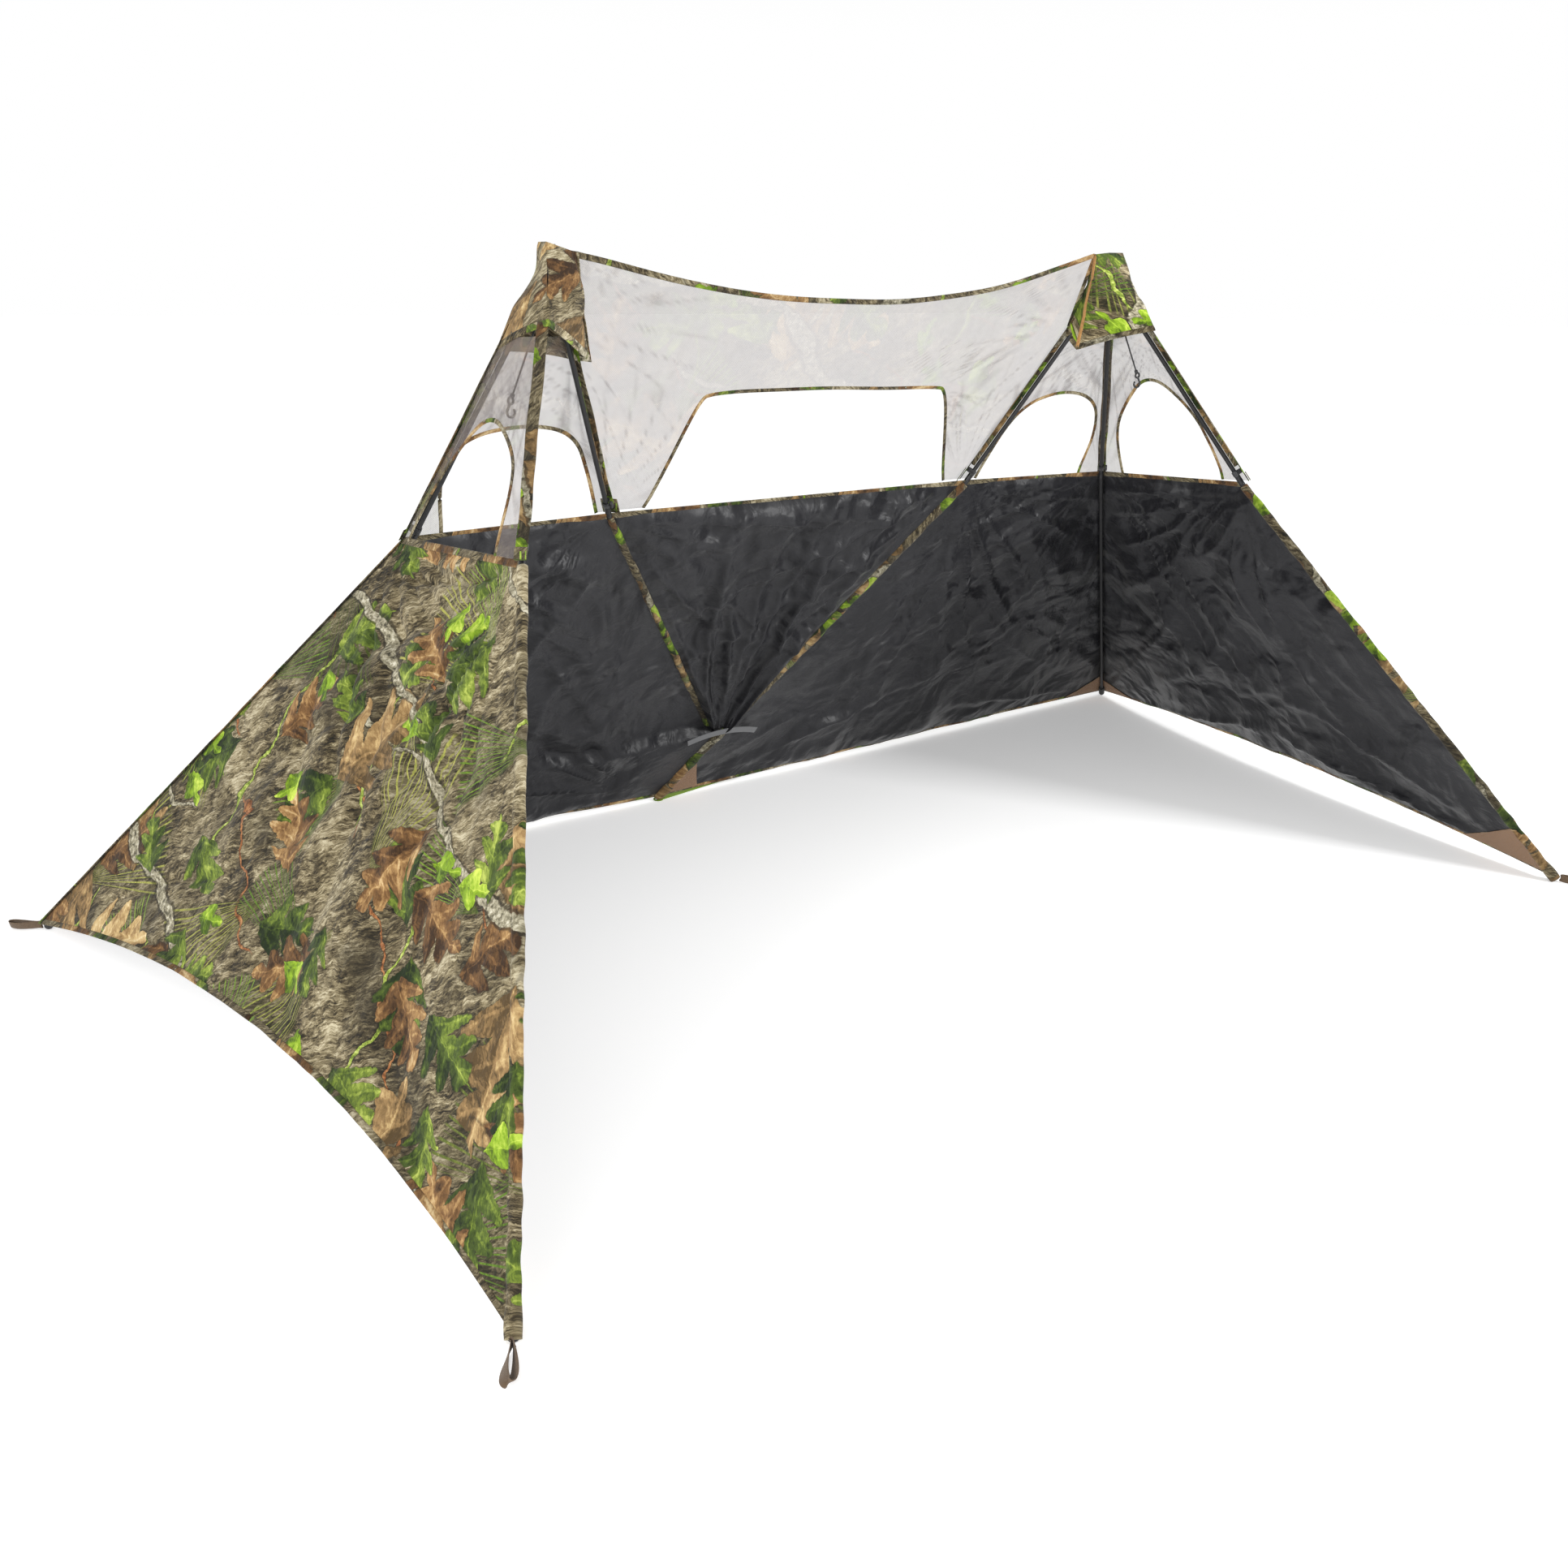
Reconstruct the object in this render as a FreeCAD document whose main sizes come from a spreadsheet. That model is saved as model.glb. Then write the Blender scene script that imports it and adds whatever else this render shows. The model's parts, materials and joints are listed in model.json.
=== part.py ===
"""Pop up ground blind: two three-legged hub frames that stand side by side, carrying five bays of
blackout wall and netting, with a fabric cap on each peak. Sizes are in millimetres, Z is up, +X runs to
the right along the back of the blind and the open front faces -Y."""
import FreeCAD, Part
from FreeCAD import Placement, Rotation, Vector
import math
import os

doc = FreeCAD.newDocument("ground_blind")

# ---------------------------------------------------------------- driving dimensions
SIZES = {
    # the frame as it stands; angles are in degrees, azimuths are those of the right-hand legs
    "hub_height": 1399, "hub_spacing": 1580, "hub_pivot_radius": 34, "site_shift_y": 165.43,
    "upper_reach": 567, "outer_lower_reach": 1290, "centre_lower_reach": 1252,
    "rear_azimuth": 39.2, "rear_lean": 30.43, "rear_lower_azimuth": 37.6,
    "front_azimuth": -52.8, "front_lean": 37.41, "front_lower_azimuth": -60.75,
    "centre_azimuth": 134.65, "centre_lean": 33.12, "centre_lower_azimuth": 146.0,
    "left_centre_lower_azimuth": 141.9,
    # poles and their fittings
    "pole_diameter": 11, "fit_gap": 0.05, "pole_end_gap": 1,
    "ferrule_wall": 1.6, "ferrule_above_knee": 28, "ferrule_below_knee": 118,
    "socket_diameter": 17, "socket_start": 12, "socket_length": 46, "socket_floor": 8,
    "blade_width": 14, "blade_thickness": 6.4, "pin_diameter": 4, "pin_length": 18,
    "boot_diameter": 20, "boot_length": 36, "boot_floor": 6,
    # hubs
    "hub_disc_diameter": 48, "hub_disc_height": 16, "lug_thickness": 4, "lug_gap": 7,
    "lug_diameter": 16, "lug_start": 18, "crown_diameter": 26, "crown_gap": 0.5,
    # fabric
    "wall_thickness": 2, "mesh_thickness": 1.2, "sleeve_wall": 1, "sleeve_diameter": 17,
    "seam_offset": 18, "hem_gap": 4, "half_gap": 1, "hem_height": 6, "left_side_rise": 120,
    "right_side_rise": 55, "back_rise": 12, "mesh_start": 140, "ridge_start": 206, "ridge_setback": 56,
    "ridge_offset": 80, "ridge_rise": 51, "ridge_sag": 85,
    # windows: half width at the hem, half width at the shoulder, shoulder height and top height
    "centre_window_half": 460, "centre_window_shoulder": 365, "centre_shoulder_height": 245,
    "centre_window_height": 286,
    "back_window_half": 185, "back_window_shoulder": 165, "back_shoulder_height": 140,
    "back_window_height": 242,
    "side_window_half": 177, "side_window_shoulder": 150, "side_shoulder_height": 125,
    "side_window_height": 296,
    # peak caps
    "cap_thickness": 1.6, "cap_clearance": 26, "cap_top_height": 99, "cap_top_radius": 44,
    "cap_front_radius": 34, "cap_front_overhang": 36, "cap_front_shift": 14, "cap_rear_drop": 126,
    "cap_front_drop": 104, "cap_centre_drop": 176,
    # window hooks and their shock cords
    "cord_diameter": 4, "cord_length": 184, "cord_lean": 26.6, "cord_hub_radius": 20, "cord_top_drop": 12,
    "hook_bar": 5, "hook_eye_radius": 6, "hook_bend_radius": 9, "hook_shank": 14, "hook_collar": 8,
    # webbing
    "loop_length": 76, "loop_gap": 12, "webbing_thickness": 1.8, "webbing_width": 20,
    "handle_length": 226, "handle_rise": 20, "handle_clearance": 5, "handle_height": 205,
    "foot_strap_thickness": 3, "foot_strap_ring": 29, "foot_strap_hole": 21, "foot_strap_width": 20,
}

sizes = doc.addObject("Spreadsheet::Sheet", "Sizes")
for row, (alias, value) in enumerate(SIZES.items(), start=1):
    sizes.set(f"A{row}", alias)
    sizes.set(f"B{row}", str(value))
    sizes.setAlias(f"B{row}", alias)
doc.recompute()


def size(alias):
    """The number in the sheet's cell of that name."""
    return float(sizes.get(alias))


UP = Vector(0, 0, 1)
FOOT_HEIGHT = size("boot_diameter") / 2


# ---------------------------------------------------------------- the frame's points
def plan(azimuth):
    """The level direction at that azimuth."""
    angle = math.radians(azimuth)
    return Vector(math.cos(angle), math.sin(angle), 0)


def mirrored(vector, side):
    return Vector(vector.x * side, vector.y, vector.z)


class Leg:
    """One pole from its hub pivot over the knee to the foot, with the line its fabric follows."""

    def __init__(self, name, side, kind, lower_azimuth, lower_reach):
        self.name = name
        self.side = side
        self.hub = Vector(side * size("hub_spacing") / 2, size("site_shift_y"), size("hub_height"))
        self.out = mirrored(plan(size(kind + "_azimuth")), side)
        self.pin = UP.cross(self.out)
        self.pivot = self.hub + self.out * size("hub_pivot_radius")
        lean = math.radians(size(kind + "_lean"))
        self.upper = self.out * math.sin(lean) - UP * math.cos(lean)
        self.knee = self.pivot + self.upper * size("upper_reach")
        drop = self.knee.z - FOOT_HEIGHT
        run = math.sqrt(lower_reach ** 2 - drop ** 2)
        self.foot = self.knee + mirrored(plan(lower_azimuth), side) * run - UP * drop
        self.lower = (self.foot - self.knee).normalize()
        self.lower_reach = lower_reach
        self.outward = self.upper.cross(self.pin)
        if self.outward.dot(self.out) < 0:
            self.outward = self.outward * -1

    def on_upper(self, distance, offset=0):
        """A point on the upper pole, or that far outside it."""
        return self.pivot + self.upper * distance + self.outward * offset

    def seam_knee(self):
        return self.on_upper(size("upper_reach"), size("seam_offset"))

    def frame(self, start, along, across):
        """A placement at start with Z along the pole and X as near across as it can be."""
        return Placement(start, Rotation(across, Vector(), along, "ZXY"))


outer_reach = size("outer_lower_reach")
centre_reach = size("centre_lower_reach")
left_rear = Leg("left_rear", -1, "rear", size("rear_lower_azimuth"), outer_reach)
left_front = Leg("left_front", -1, "front", size("front_lower_azimuth"), outer_reach)
left_centre = Leg("left_centre", -1, "centre", size("left_centre_lower_azimuth"), centre_reach)
right_rear = Leg("right_rear", 1, "rear", size("rear_lower_azimuth"), outer_reach)
right_front = Leg("right_front", 1, "front", size("front_lower_azimuth"), outer_reach)
right_centre = Leg("right_centre", 1, "centre", size("centre_lower_azimuth"), centre_reach)
LEGS = [left_rear, left_front, left_centre, right_rear, right_front, right_centre]
PARTS = []


# ---------------------------------------------------------------- small builders
def primitive(kind, name, expressions, placement=None):
    """A Part primitive whose sizes follow the sheet."""
    thing = doc.addObject("Part::" + kind, name)
    for prop, text in expressions.items():
        thing.setExpression(prop, text.replace("@", "Sizes."))
    if placement is not None:
        thing.Placement = placement
    return thing


def fuse(name, shapes):
    thing = doc.addObject("Part::MultiFuse", name)
    thing.Shapes = shapes
    return thing


def cut(name, base, tool):
    thing = doc.addObject("Part::Cut", name)
    thing.Base = base
    thing.Tool = tool
    return thing


def feature(name, shape):
    thing = doc.addObject("Part::Feature", name)
    thing.Shape = shape
    return thing


def keep(thing, label, placement=None):
    """Marks a finished sub-part, which takes the label that names its file."""
    thing.Label = label
    if placement is not None:
        thing.Placement = placement
    PARTS.append(thing)
    return thing


def at(x=0, y=0, z=0):
    return Placement(Vector(x, y, z), Rotation())


def path(points):
    """Straight edges from point to point, and an arc where a middle point is given in brackets."""
    edges = []
    start = points[0]
    for item in points[1:]:
        if isinstance(item, tuple):
            middle, end = item
            edges.append(Part.Arc(start, middle, end).toShape())
        else:
            end = item
            edges.append(Part.makeLine(start, end))
        start = end
    if start.distanceToPoint(points[0]) > 1e-6:
        edges.append(Part.makeLine(start, points[0]))
    return edges


# ---------------------------------------------------------------- poles
def build_knuckle(leg):
    """The moulded pole end that swings on the hub pin: a drilled blade and a socket for the pole."""
    name = leg.name
    blade_start = size("socket_start") + 2
    blade = primitive("Box", f"blade_{name}", {
        "Length": "@blade_thickness", "Width": "@blade_width", "Height": "@socket_start + 2"},
        at(-size("blade_thickness") / 2, -size("blade_width") / 2, 0))
    sideways = Placement(Vector(-size("blade_thickness") / 2, 0, 0), Rotation(Vector(0, 1, 0), 90))
    nose = primitive("Cylinder", f"nose_{name}", {
        "Radius": "@blade_width / 2", "Height": "@blade_thickness"}, sideways)
    socket = primitive("Cylinder", f"socket_{name}", {
        "Radius": "@socket_diameter / 2", "Height": "@socket_length"}, at(z=size("socket_start")))
    bore = primitive("Cylinder", f"socket_bore_{name}", {
        "Radius": "@pole_diameter / 2 + @fit_gap", "Height": "@socket_length"},
        at(z=size("socket_start") + size("socket_floor")))
    drilling = Placement(Vector(-blade_start, 0, 0), Rotation(Vector(0, 1, 0), 90))
    pin_hole = primitive("Cylinder", f"pin_hole_{name}", {
        "Radius": "@pin_diameter / 2 + @fit_gap", "Height": "2 * (@socket_start + 2)"}, drilling)
    body = fuse(f"knuckle_body_{name}", [blade, nose, socket])
    tools = fuse(f"knuckle_bores_{name}", [bore, pin_hole])
    knuckle = cut(f"knuckle_cut_{name}", body, tools)
    keep(knuckle, f"knuckle_{name}", leg.frame(leg.pivot, leg.upper, leg.pin))


def build_poles(leg):
    """The two straight pole sections, which meet in the ferrule at the knee."""
    start = size("socket_start") + size("socket_floor")
    upper = primitive("Cylinder", f"upper_{leg.name}", {
        "Radius": "@pole_diameter / 2",
        "Height": "@upper_reach - @socket_start - @socket_floor - @pole_end_gap"})
    keep(upper, f"upper_pole_{leg.name}", leg.frame(leg.on_upper(start), leg.upper, leg.pin))
    reach = "@centre_lower_reach" if "centre" in leg.name else "@outer_lower_reach"
    lower = primitive("Cylinder", f"lower_{leg.name}", {
        "Radius": "@pole_diameter / 2",
        "Height": reach + " - @pole_end_gap - @boot_floor"})
    first = leg.knee + leg.lower * size("pole_end_gap")
    keep(lower, f"lower_pole_{leg.name}", leg.frame(first, leg.lower, leg.pin))


def build_ferrule(leg):
    """The bent joining tube that sets the knee's angle."""
    name = leg.name
    above = leg.frame(leg.knee, leg.upper * -1, leg.pin)
    below = leg.frame(leg.knee, leg.lower, leg.pin)
    outer = "@pole_diameter / 2 + @ferrule_wall"
    inner = "@pole_diameter / 2 + @fit_gap"
    top = primitive("Cylinder", f"ferrule_top_{name}", {
        "Radius": outer, "Height": "@ferrule_above_knee"}, above)
    bottom = primitive("Cylinder", f"ferrule_bottom_{name}", {
        "Radius": outer, "Height": "@ferrule_below_knee"}, below)
    ball = primitive("Sphere", f"ferrule_ball_{name}", {"Radius": outer}, Placement(leg.knee, Rotation()))
    bore_top = primitive("Cylinder", f"ferrule_bore_top_{name}", {
        "Radius": inner, "Height": "@ferrule_above_knee + 1"}, above)
    bore_bottom = primitive("Cylinder", f"ferrule_bore_bottom_{name}", {
        "Radius": inner, "Height": "@ferrule_below_knee + 1"}, below)
    bore_ball = primitive("Sphere", f"ferrule_bore_ball_{name}", {"Radius": inner},
                          Placement(leg.knee, Rotation()))
    body = fuse(f"ferrule_body_{name}", [top, bottom, ball])
    bores = fuse(f"ferrule_bores_{name}", [bore_top, bore_bottom, bore_ball])
    keep(cut(f"ferrule_cut_{name}", body, bores), f"ferrule_{name}")


def build_boot(leg):
    """The rubber boot on the pole's foot, with a round end that can rock on the ground."""
    name = leg.name
    tube = primitive("Cylinder", f"boot_tube_{name}", {
        "Radius": "@boot_diameter / 2", "Height": "@boot_length"})
    toe = primitive("Sphere", f"boot_toe_{name}", {"Radius": "@boot_diameter / 2"})
    bore = primitive("Cylinder", f"boot_bore_{name}", {
        "Radius": "@pole_diameter / 2 + @fit_gap", "Height": "@boot_length"}, at(z=size("boot_floor")))
    body = fuse(f"boot_body_{name}", [tube, toe])
    keep(cut(f"boot_cut_{name}", body, bore), f"foot_boot_{name}",
         leg.frame(leg.foot, leg.lower * -1, leg.pin))


# ---------------------------------------------------------------- hubs
def build_hub(side_name, legs):
    """A moulded disc with a pair of drilled lugs for each leg, the pins through them, and a crown on it
    that holds the cap up."""
    hub = legs[0].hub
    pieces = [primitive("Cylinder", f"hub_disc_{side_name}", {
        "Radius": "@hub_disc_diameter / 2", "Height": "@hub_disc_height"},
        Placement(hub - UP * (size("hub_disc_height") / 2), Rotation())),
        primitive("Cylinder", f"hub_crown_{side_name}", {
            "Radius": "@crown_diameter / 2", "Height": "@cap_top_height - @cap_thickness - @crown_gap"},
            Placement(hub, Rotation()))]
    holes = []
    pins = []
    for leg in legs:
        for number, sign in enumerate((-1, 1)):
            inner = size("lug_gap") / 2 if sign > 0 else -size("lug_gap") / 2 - size("lug_thickness")
            start = hub + leg.out * size("lug_start") + leg.pin * inner
            start = start - UP * (size("lug_diameter") / 2)
            lug = primitive("Box", f"lug_{leg.name}_{number}", {
                "Length": "@hub_pivot_radius - @lug_start", "Width": "@lug_thickness",
                "Height": "@lug_diameter"}, Placement(start, Rotation(leg.out, Vector(), UP, "ZXY")))
            lying = Rotation(leg.out, Vector(), leg.pin, "ZXY")
            eye = primitive("Cylinder", f"lug_eye_{leg.name}_{number}", {
                "Radius": "@lug_diameter / 2", "Height": "@lug_thickness"},
                Placement(leg.pivot + leg.pin * inner, lying))
            pieces += [lug, eye]
        half_pin = leg.pin * (size("pin_length") / 2)
        lying = Rotation(leg.out, Vector(), leg.pin, "ZXY")
        holes.append(primitive("Cylinder", f"lug_hole_{leg.name}", {
            "Radius": "@pin_diameter / 2", "Height": "@pin_length"},
            Placement(leg.pivot - half_pin, lying)))
        pins.append(primitive("Cylinder", f"pin_{leg.name}", {
            "Radius": "@pin_diameter / 2", "Height": "@pin_length"},
            Placement(leg.pivot - half_pin, lying)))
    body = fuse(f"hub_body_{side_name}", pieces)
    keep(cut(f"hub_cut_{side_name}", body, fuse(f"hub_holes_{side_name}", holes)), f"hub_{side_name}")
    keep(fuse(f"pins_{side_name}", pins), f"hub_pins_{side_name}")


def closed_shell(lower, upper):
    """A solid between two rings of points, with flat triangles all round."""
    def triangle(*corners):
        return Part.Face(Part.makePolygon(list(corners) + [corners[0]]))

    faces = []
    count = len(lower)
    for first in range(count):
        second = (first + 1) % count
        faces.append(triangle(lower[first], lower[second], upper[second]))
        faces.append(triangle(lower[first], upper[second], upper[first]))
    for ring in (lower, upper):
        faces += [triangle(ring[0], ring[number], ring[number + 1]) for number in range(1, count - 1)]
    shape = Part.Solid(Part.Shell(faces))
    if shape.Volume < 0:
        shape.reverse()
    return shape


def build_cap(side_name, rear, front, centre):
    """The fabric cap over a hub: a corner over each leg, a straight hem over the open front."""
    ahead = (front.out + centre.out).normalize()
    top = rear.hub + UP * size("cap_top_height")

    def cap_solid(inset, overrun):
        clearance = size("cap_clearance") - inset
        over_rear = rear.on_upper(size("cap_rear_drop"), clearance)
        over_front = front.on_upper(size("cap_front_drop"), clearance)
        over_front = over_front + ahead * (size("cap_front_shift") - inset)
        over_centre = centre.on_upper(size("cap_centre_drop"), clearance)
        before_centre = over_centre + ahead * (size("cap_front_overhang") - inset)
        middle = (over_front + before_centre) * 0.5 + ahead * size("hem_gap")
        lower = [over_rear, over_front, middle, before_centre, over_centre]
        headings = [rear.out, front.out, ahead, (ahead + centre.out).normalize(), centre.out]
        radii = [size("cap_top_radius")] * 5
        radii[2] = size("cap_front_radius")
        upper = [top - UP * inset + heading * (radius - inset) for heading, radius in zip(headings, radii)]
        if overrun:
            lower = [low + (low - high).normalize() * overrun for low, high in zip(lower, upper)]
        return closed_shell(lower, upper)

    keep(feature(f"cap_{side_name}", cap_solid(0, 0).cut(cap_solid(size("cap_thickness"), 3))),
         f"peak_cap_{side_name}")


# ---------------------------------------------------------------- fabric
def sleeve(leg):
    """The fabric tube round the lower pole, which the wall is sewn to."""
    start = leg.knee + leg.lower * size("hem_gap")
    length = leg.lower_reach - size("hem_gap") - size("boot_length") - size("half_gap")
    outer = Part.makeCylinder(size("sleeve_diameter") / 2, length, start, leg.lower)
    inner = Part.makeCylinder(size("sleeve_diameter") / 2 - size("sleeve_wall"), length, start, leg.lower)
    return outer.cut(inner)


def wall_line(leg):
    """The line that the wall follows at a leg: through the sleeve, or outside a rear corner's pole."""
    if "rear" in leg.name:
        level = Vector(leg.lower.x, leg.lower.y, 0).normalize()
        return leg.seam_knee(), leg.foot - level * (size("seam_offset") / leg.lower.z)
    return leg.knee, leg.foot


def folded_sheet(outlines, thickness):
    """Flat outlines that share edges, as one sheet of that thickness, half of it on each side."""
    faces = [Part.Face(Part.Wire(path(outline))) for outline in outlines]
    normal = faces[0].normalAt(0, 0)
    for face in faces[1:]:
        other = face.normalAt(0, 0)
        normal = normal + (other if other.dot(faces[0].normalAt(0, 0)) > 0 else other * -1)
    normal.normalize()
    solids = []
    for face in faces:
        face.translate(normal * (-thickness / 2))
        solids.append(face.extrude(normal * thickness))
    return solids[0] if len(solids) == 1 else solids[0].multiFuse(solids[1:])


def edge_start(leg, toward):
    """How far from the pole a wall begins at a sleeve, as a vector towards the bay."""
    along = leg.lower
    inward = (toward - along * toward.dot(along)).normalize()
    return inward * (size("sleeve_diameter") / 2 - size("sleeve_wall") / 2)


def wall_half(leg, other, rise, bottom_middle, corner=None):
    """The half of a wall bay nearest to leg, out to the middle between the two legs. A wall with a
    corner leaves the leg at the crossing and runs on to that corner."""
    knee, foot = wall_line(leg)
    toward = (wall_line(other)[0] - knee).normalize()
    middle = (knee + wall_line(other)[0]) * 0.5 - toward * size("half_gap")
    ground = Vector(bottom_middle.x, bottom_middle.y, size("hem_height")) - toward * size("half_gap")
    fall = (ground - middle).normalize()
    along = (foot - knee).normalize()
    start = Vector() if "rear" in leg.name else edge_start(leg, toward)
    top = knee + along * size("hem_gap") + start
    top_middle = middle + fall * size("hem_gap")
    low_middle = ground - fall * rise
    if corner is not None:
        crossing = crossing_point(leg) + start
        return folded_sheet([[top, top_middle, low_middle], [top, low_middle, crossing],
                             [crossing, low_middle, corner]], size("wall_thickness"))
    trim = size("webbing_width") if "rear" in leg.name else size("boot_length") + size("hem_gap")
    bottom = foot - along * trim + start
    lower_normal = (low_middle - top).cross(bottom - top).normalize()
    chord = bottom - low_middle
    lift = lower_normal.cross(chord).normalize()
    if lift.z < 0:
        lift = lift * -1
    bend = low_middle + chord * 0.5 + lift * (rise / 4)
    return folded_sheet([[top, top_middle, low_middle], [top, low_middle, (bend, bottom)]],
                        size("wall_thickness"))


def mesh_half(leg, other, window, apex_height):
    """The half of a netting bay nearest to leg, with its half of the window cut away."""
    knee = leg.seam_knee()
    top = leg.on_upper(size("mesh_start"), size("seam_offset"))
    toward = other.seam_knee() - knee
    half = toward.Length / 2
    toward.normalize()
    rising = (top - knee) - toward * (top - knee).dot(toward)
    rising.normalize()
    top_x = (top - knee).dot(toward)
    top_y = (top - knee).dot(rising)

    def spot(across, height):
        """A point of the bay's plane, measured from the middle of the hem towards leg."""
        return knee + toward * (half - across) + rising * height

    edge = size("half_gap")
    lift = size("hem_gap")
    shoulder = spot(size(window + "_window_shoulder"), size(window + "_shoulder_height"))
    crown = spot(edge, size(window + "_window_height"))
    outline = [spot(half, lift), spot(size(window + "_window_half"), lift), shoulder]
    if window == "centre":
        corner = spot(size("centre_window_shoulder") - 40, size("centre_window_height"))
        bulge = spot(size("centre_window_shoulder") - 10, size("centre_window_height") - 10)
        outline += [(bulge, corner), crown]
        ridge_top = leg.on_upper(size("ridge_start"), size("seam_offset"))
        ridge_x = (ridge_top - knee).dot(toward)
        ridge_y = (ridge_top - knee).dot(rising)
        near = spot(half - ridge_x, ridge_y)
        hub_across = size("hub_spacing") / 2 - size("ridge_offset")
        ridge_end = spot(hub_across, apex_height)
        ridge_middle = spot(edge, apex_height - size("ridge_sag"))
        ridge_bend = spot(hub_across / 2, apex_height - size("ridge_sag") * 0.72)
        set_back = spot(half - ridge_x - size("ridge_setback"), ridge_y)
        outline += [ridge_middle, (ridge_bend, ridge_end), set_back, near]
    else:
        across = (size(window + "_window_shoulder") + edge) / 2
        height = (size(window + "_shoulder_height") + size(window + "_window_height")) / 2
        bulge = spot(across * 1.14, height * 1.06)
        outline += [(bulge, crown), spot(edge, top_y), spot(half - top_x, top_y)]
    return folded_sheet([outline], size("mesh_thickness"))


def seam_strip(leg):
    """The tape outside the upper pole that the netting bays are sewn to."""
    start = leg.on_upper(size("mesh_start"), size("seam_offset"))
    length = size("upper_reach") - size("mesh_start") - size("hem_gap")
    strip = Part.makeBox(6, size("mesh_thickness"), length)
    strip.translate(Vector(-3, -size("mesh_thickness") / 2, 0))
    strip.Placement = leg.frame(start, leg.upper, leg.pin).multiply(strip.Placement)
    return strip


def crossing_point(leg):
    """The lowest point of the centre wall's edge on a centre leg, just short of the middle."""
    share = (leg.knee.x + leg.side * -12) / (leg.knee.x - leg.foot.x)
    return leg.knee + (leg.foot - leg.knee) * share


def build_fabric():
    """Each leg carries the wall and the netting that are sewn to it, out to the middle of each bay."""
    side_rise = {-1: size("left_side_rise"), 1: size("right_side_rise")}
    back = size("back_rise")
    for side, rear, front, centre in ((-1, left_rear, left_front, left_centre),
                                      (1, right_rear, right_front, right_centre)):
        far_centre = right_centre if side < 0 else left_centre
        side_middle = (wall_line(rear)[1] + front.foot) * 0.5
        inner_corner = Vector(right_centre.foot.x, centre.foot.y, 0)
        back_middle = (wall_line(rear)[1] + inner_corner) * 0.5
        rise = side_rise[side]
        keep(feature(f"walls_{rear.name}", wall_half(rear, front, rise, side_middle).fuse(
            wall_half(rear, centre, back, back_middle))), f"wall_{rear.name}")
        keep(feature(f"walls_{front.name}", sleeve(front).fuse(
            wall_half(front, rear, rise, side_middle))), f"wall_{front.name}")
        corner = inner_corner + UP * size("hem_height") if side < 0 else None
        keep(feature(f"walls_{centre.name}", sleeve(centre).multiFuse(
            [wall_half(centre, rear, back, back_middle, corner), centre_half(centre, far_centre)])),
            f"wall_{centre.name}")
        keep(feature(f"meshes_{rear.name}", seam_strip(rear).multiFuse(
            [mesh_half(rear, front, "side", 0), mesh_half(rear, centre, "back", 0)])),
            f"mesh_{rear.name}")
        keep(feature(f"meshes_{front.name}", seam_strip(front).fuse(
            mesh_half(front, rear, "side", 0))), f"mesh_{front.name}")
        apex = (centre.hub.z + size("ridge_rise") - centre.seam_knee().z) / math.cos(math.radians(25))
        keep(feature(f"meshes_{centre.name}", seam_strip(centre).multiFuse(
            [mesh_half(centre, rear, "back", 0), mesh_half(centre, far_centre, "centre", apex)])),
            f"mesh_{centre.name}")


def centre_half(leg, other):
    """Half of the centre wall, which narrows to the crossing of the two centre legs."""
    toward = (other.knee - leg.knee).normalize()
    start = edge_start(leg, toward)
    top = leg.knee + leg.lower * size("hem_gap") + start
    middle = (leg.knee + other.knee) * 0.5 - toward * size("half_gap")
    bottom = crossing_point(leg) + start
    return folded_sheet([[top, middle, bottom]], size("wall_thickness"))


# ---------------------------------------------------------------- webbing
def build_stake_loop(leg):
    """The webbing loop at a corner: a stake goes down through it."""
    name = leg.name
    wide = "@loop_gap + 2 * @webbing_thickness"
    far = size("loop_length")

    def race(tag, width, height, z):
        half = size("loop_gap") / 2 + (size("webbing_thickness") if tag == "outer" else 0)
        bar = primitive("Box", f"loop_{tag}_bar_{name}", {
            "Length": "@loop_length", "Width": width, "Height": height}, at(0, -half, z))
        ends = [primitive("Cylinder", f"loop_{tag}_end_{name}_{number}", {
            "Radius": f"({width}) / 2", "Height": height}, at(x, 0, z))
            for number, x in enumerate((0, far))]
        return fuse(f"loop_{tag}_{name}", [bar] + ends)

    outer = race("outer", wide, "@webbing_width", 0)
    inner = race("inner", "@loop_gap", "@webbing_width + 2", -1)
    ball = primitive("Sphere", f"loop_seat_{name}", {"Radius": "@boot_diameter / 2 + @fit_gap * 4"},
                     at(-16, 0, FOOT_HEIGHT - 0.5))
    away = Vector(leg.lower.x, leg.lower.y, 0).normalize()
    place = Placement(Vector(leg.foot.x, leg.foot.y, 0.5) + away * 16, Rotation(away, Vector(), UP, "ZXY"))
    keep(cut(f"loop_cut_{name}", outer, fuse(f"loop_tools_{name}", [inner, ball])),
         f"stake_loop_{name}", place)


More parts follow.
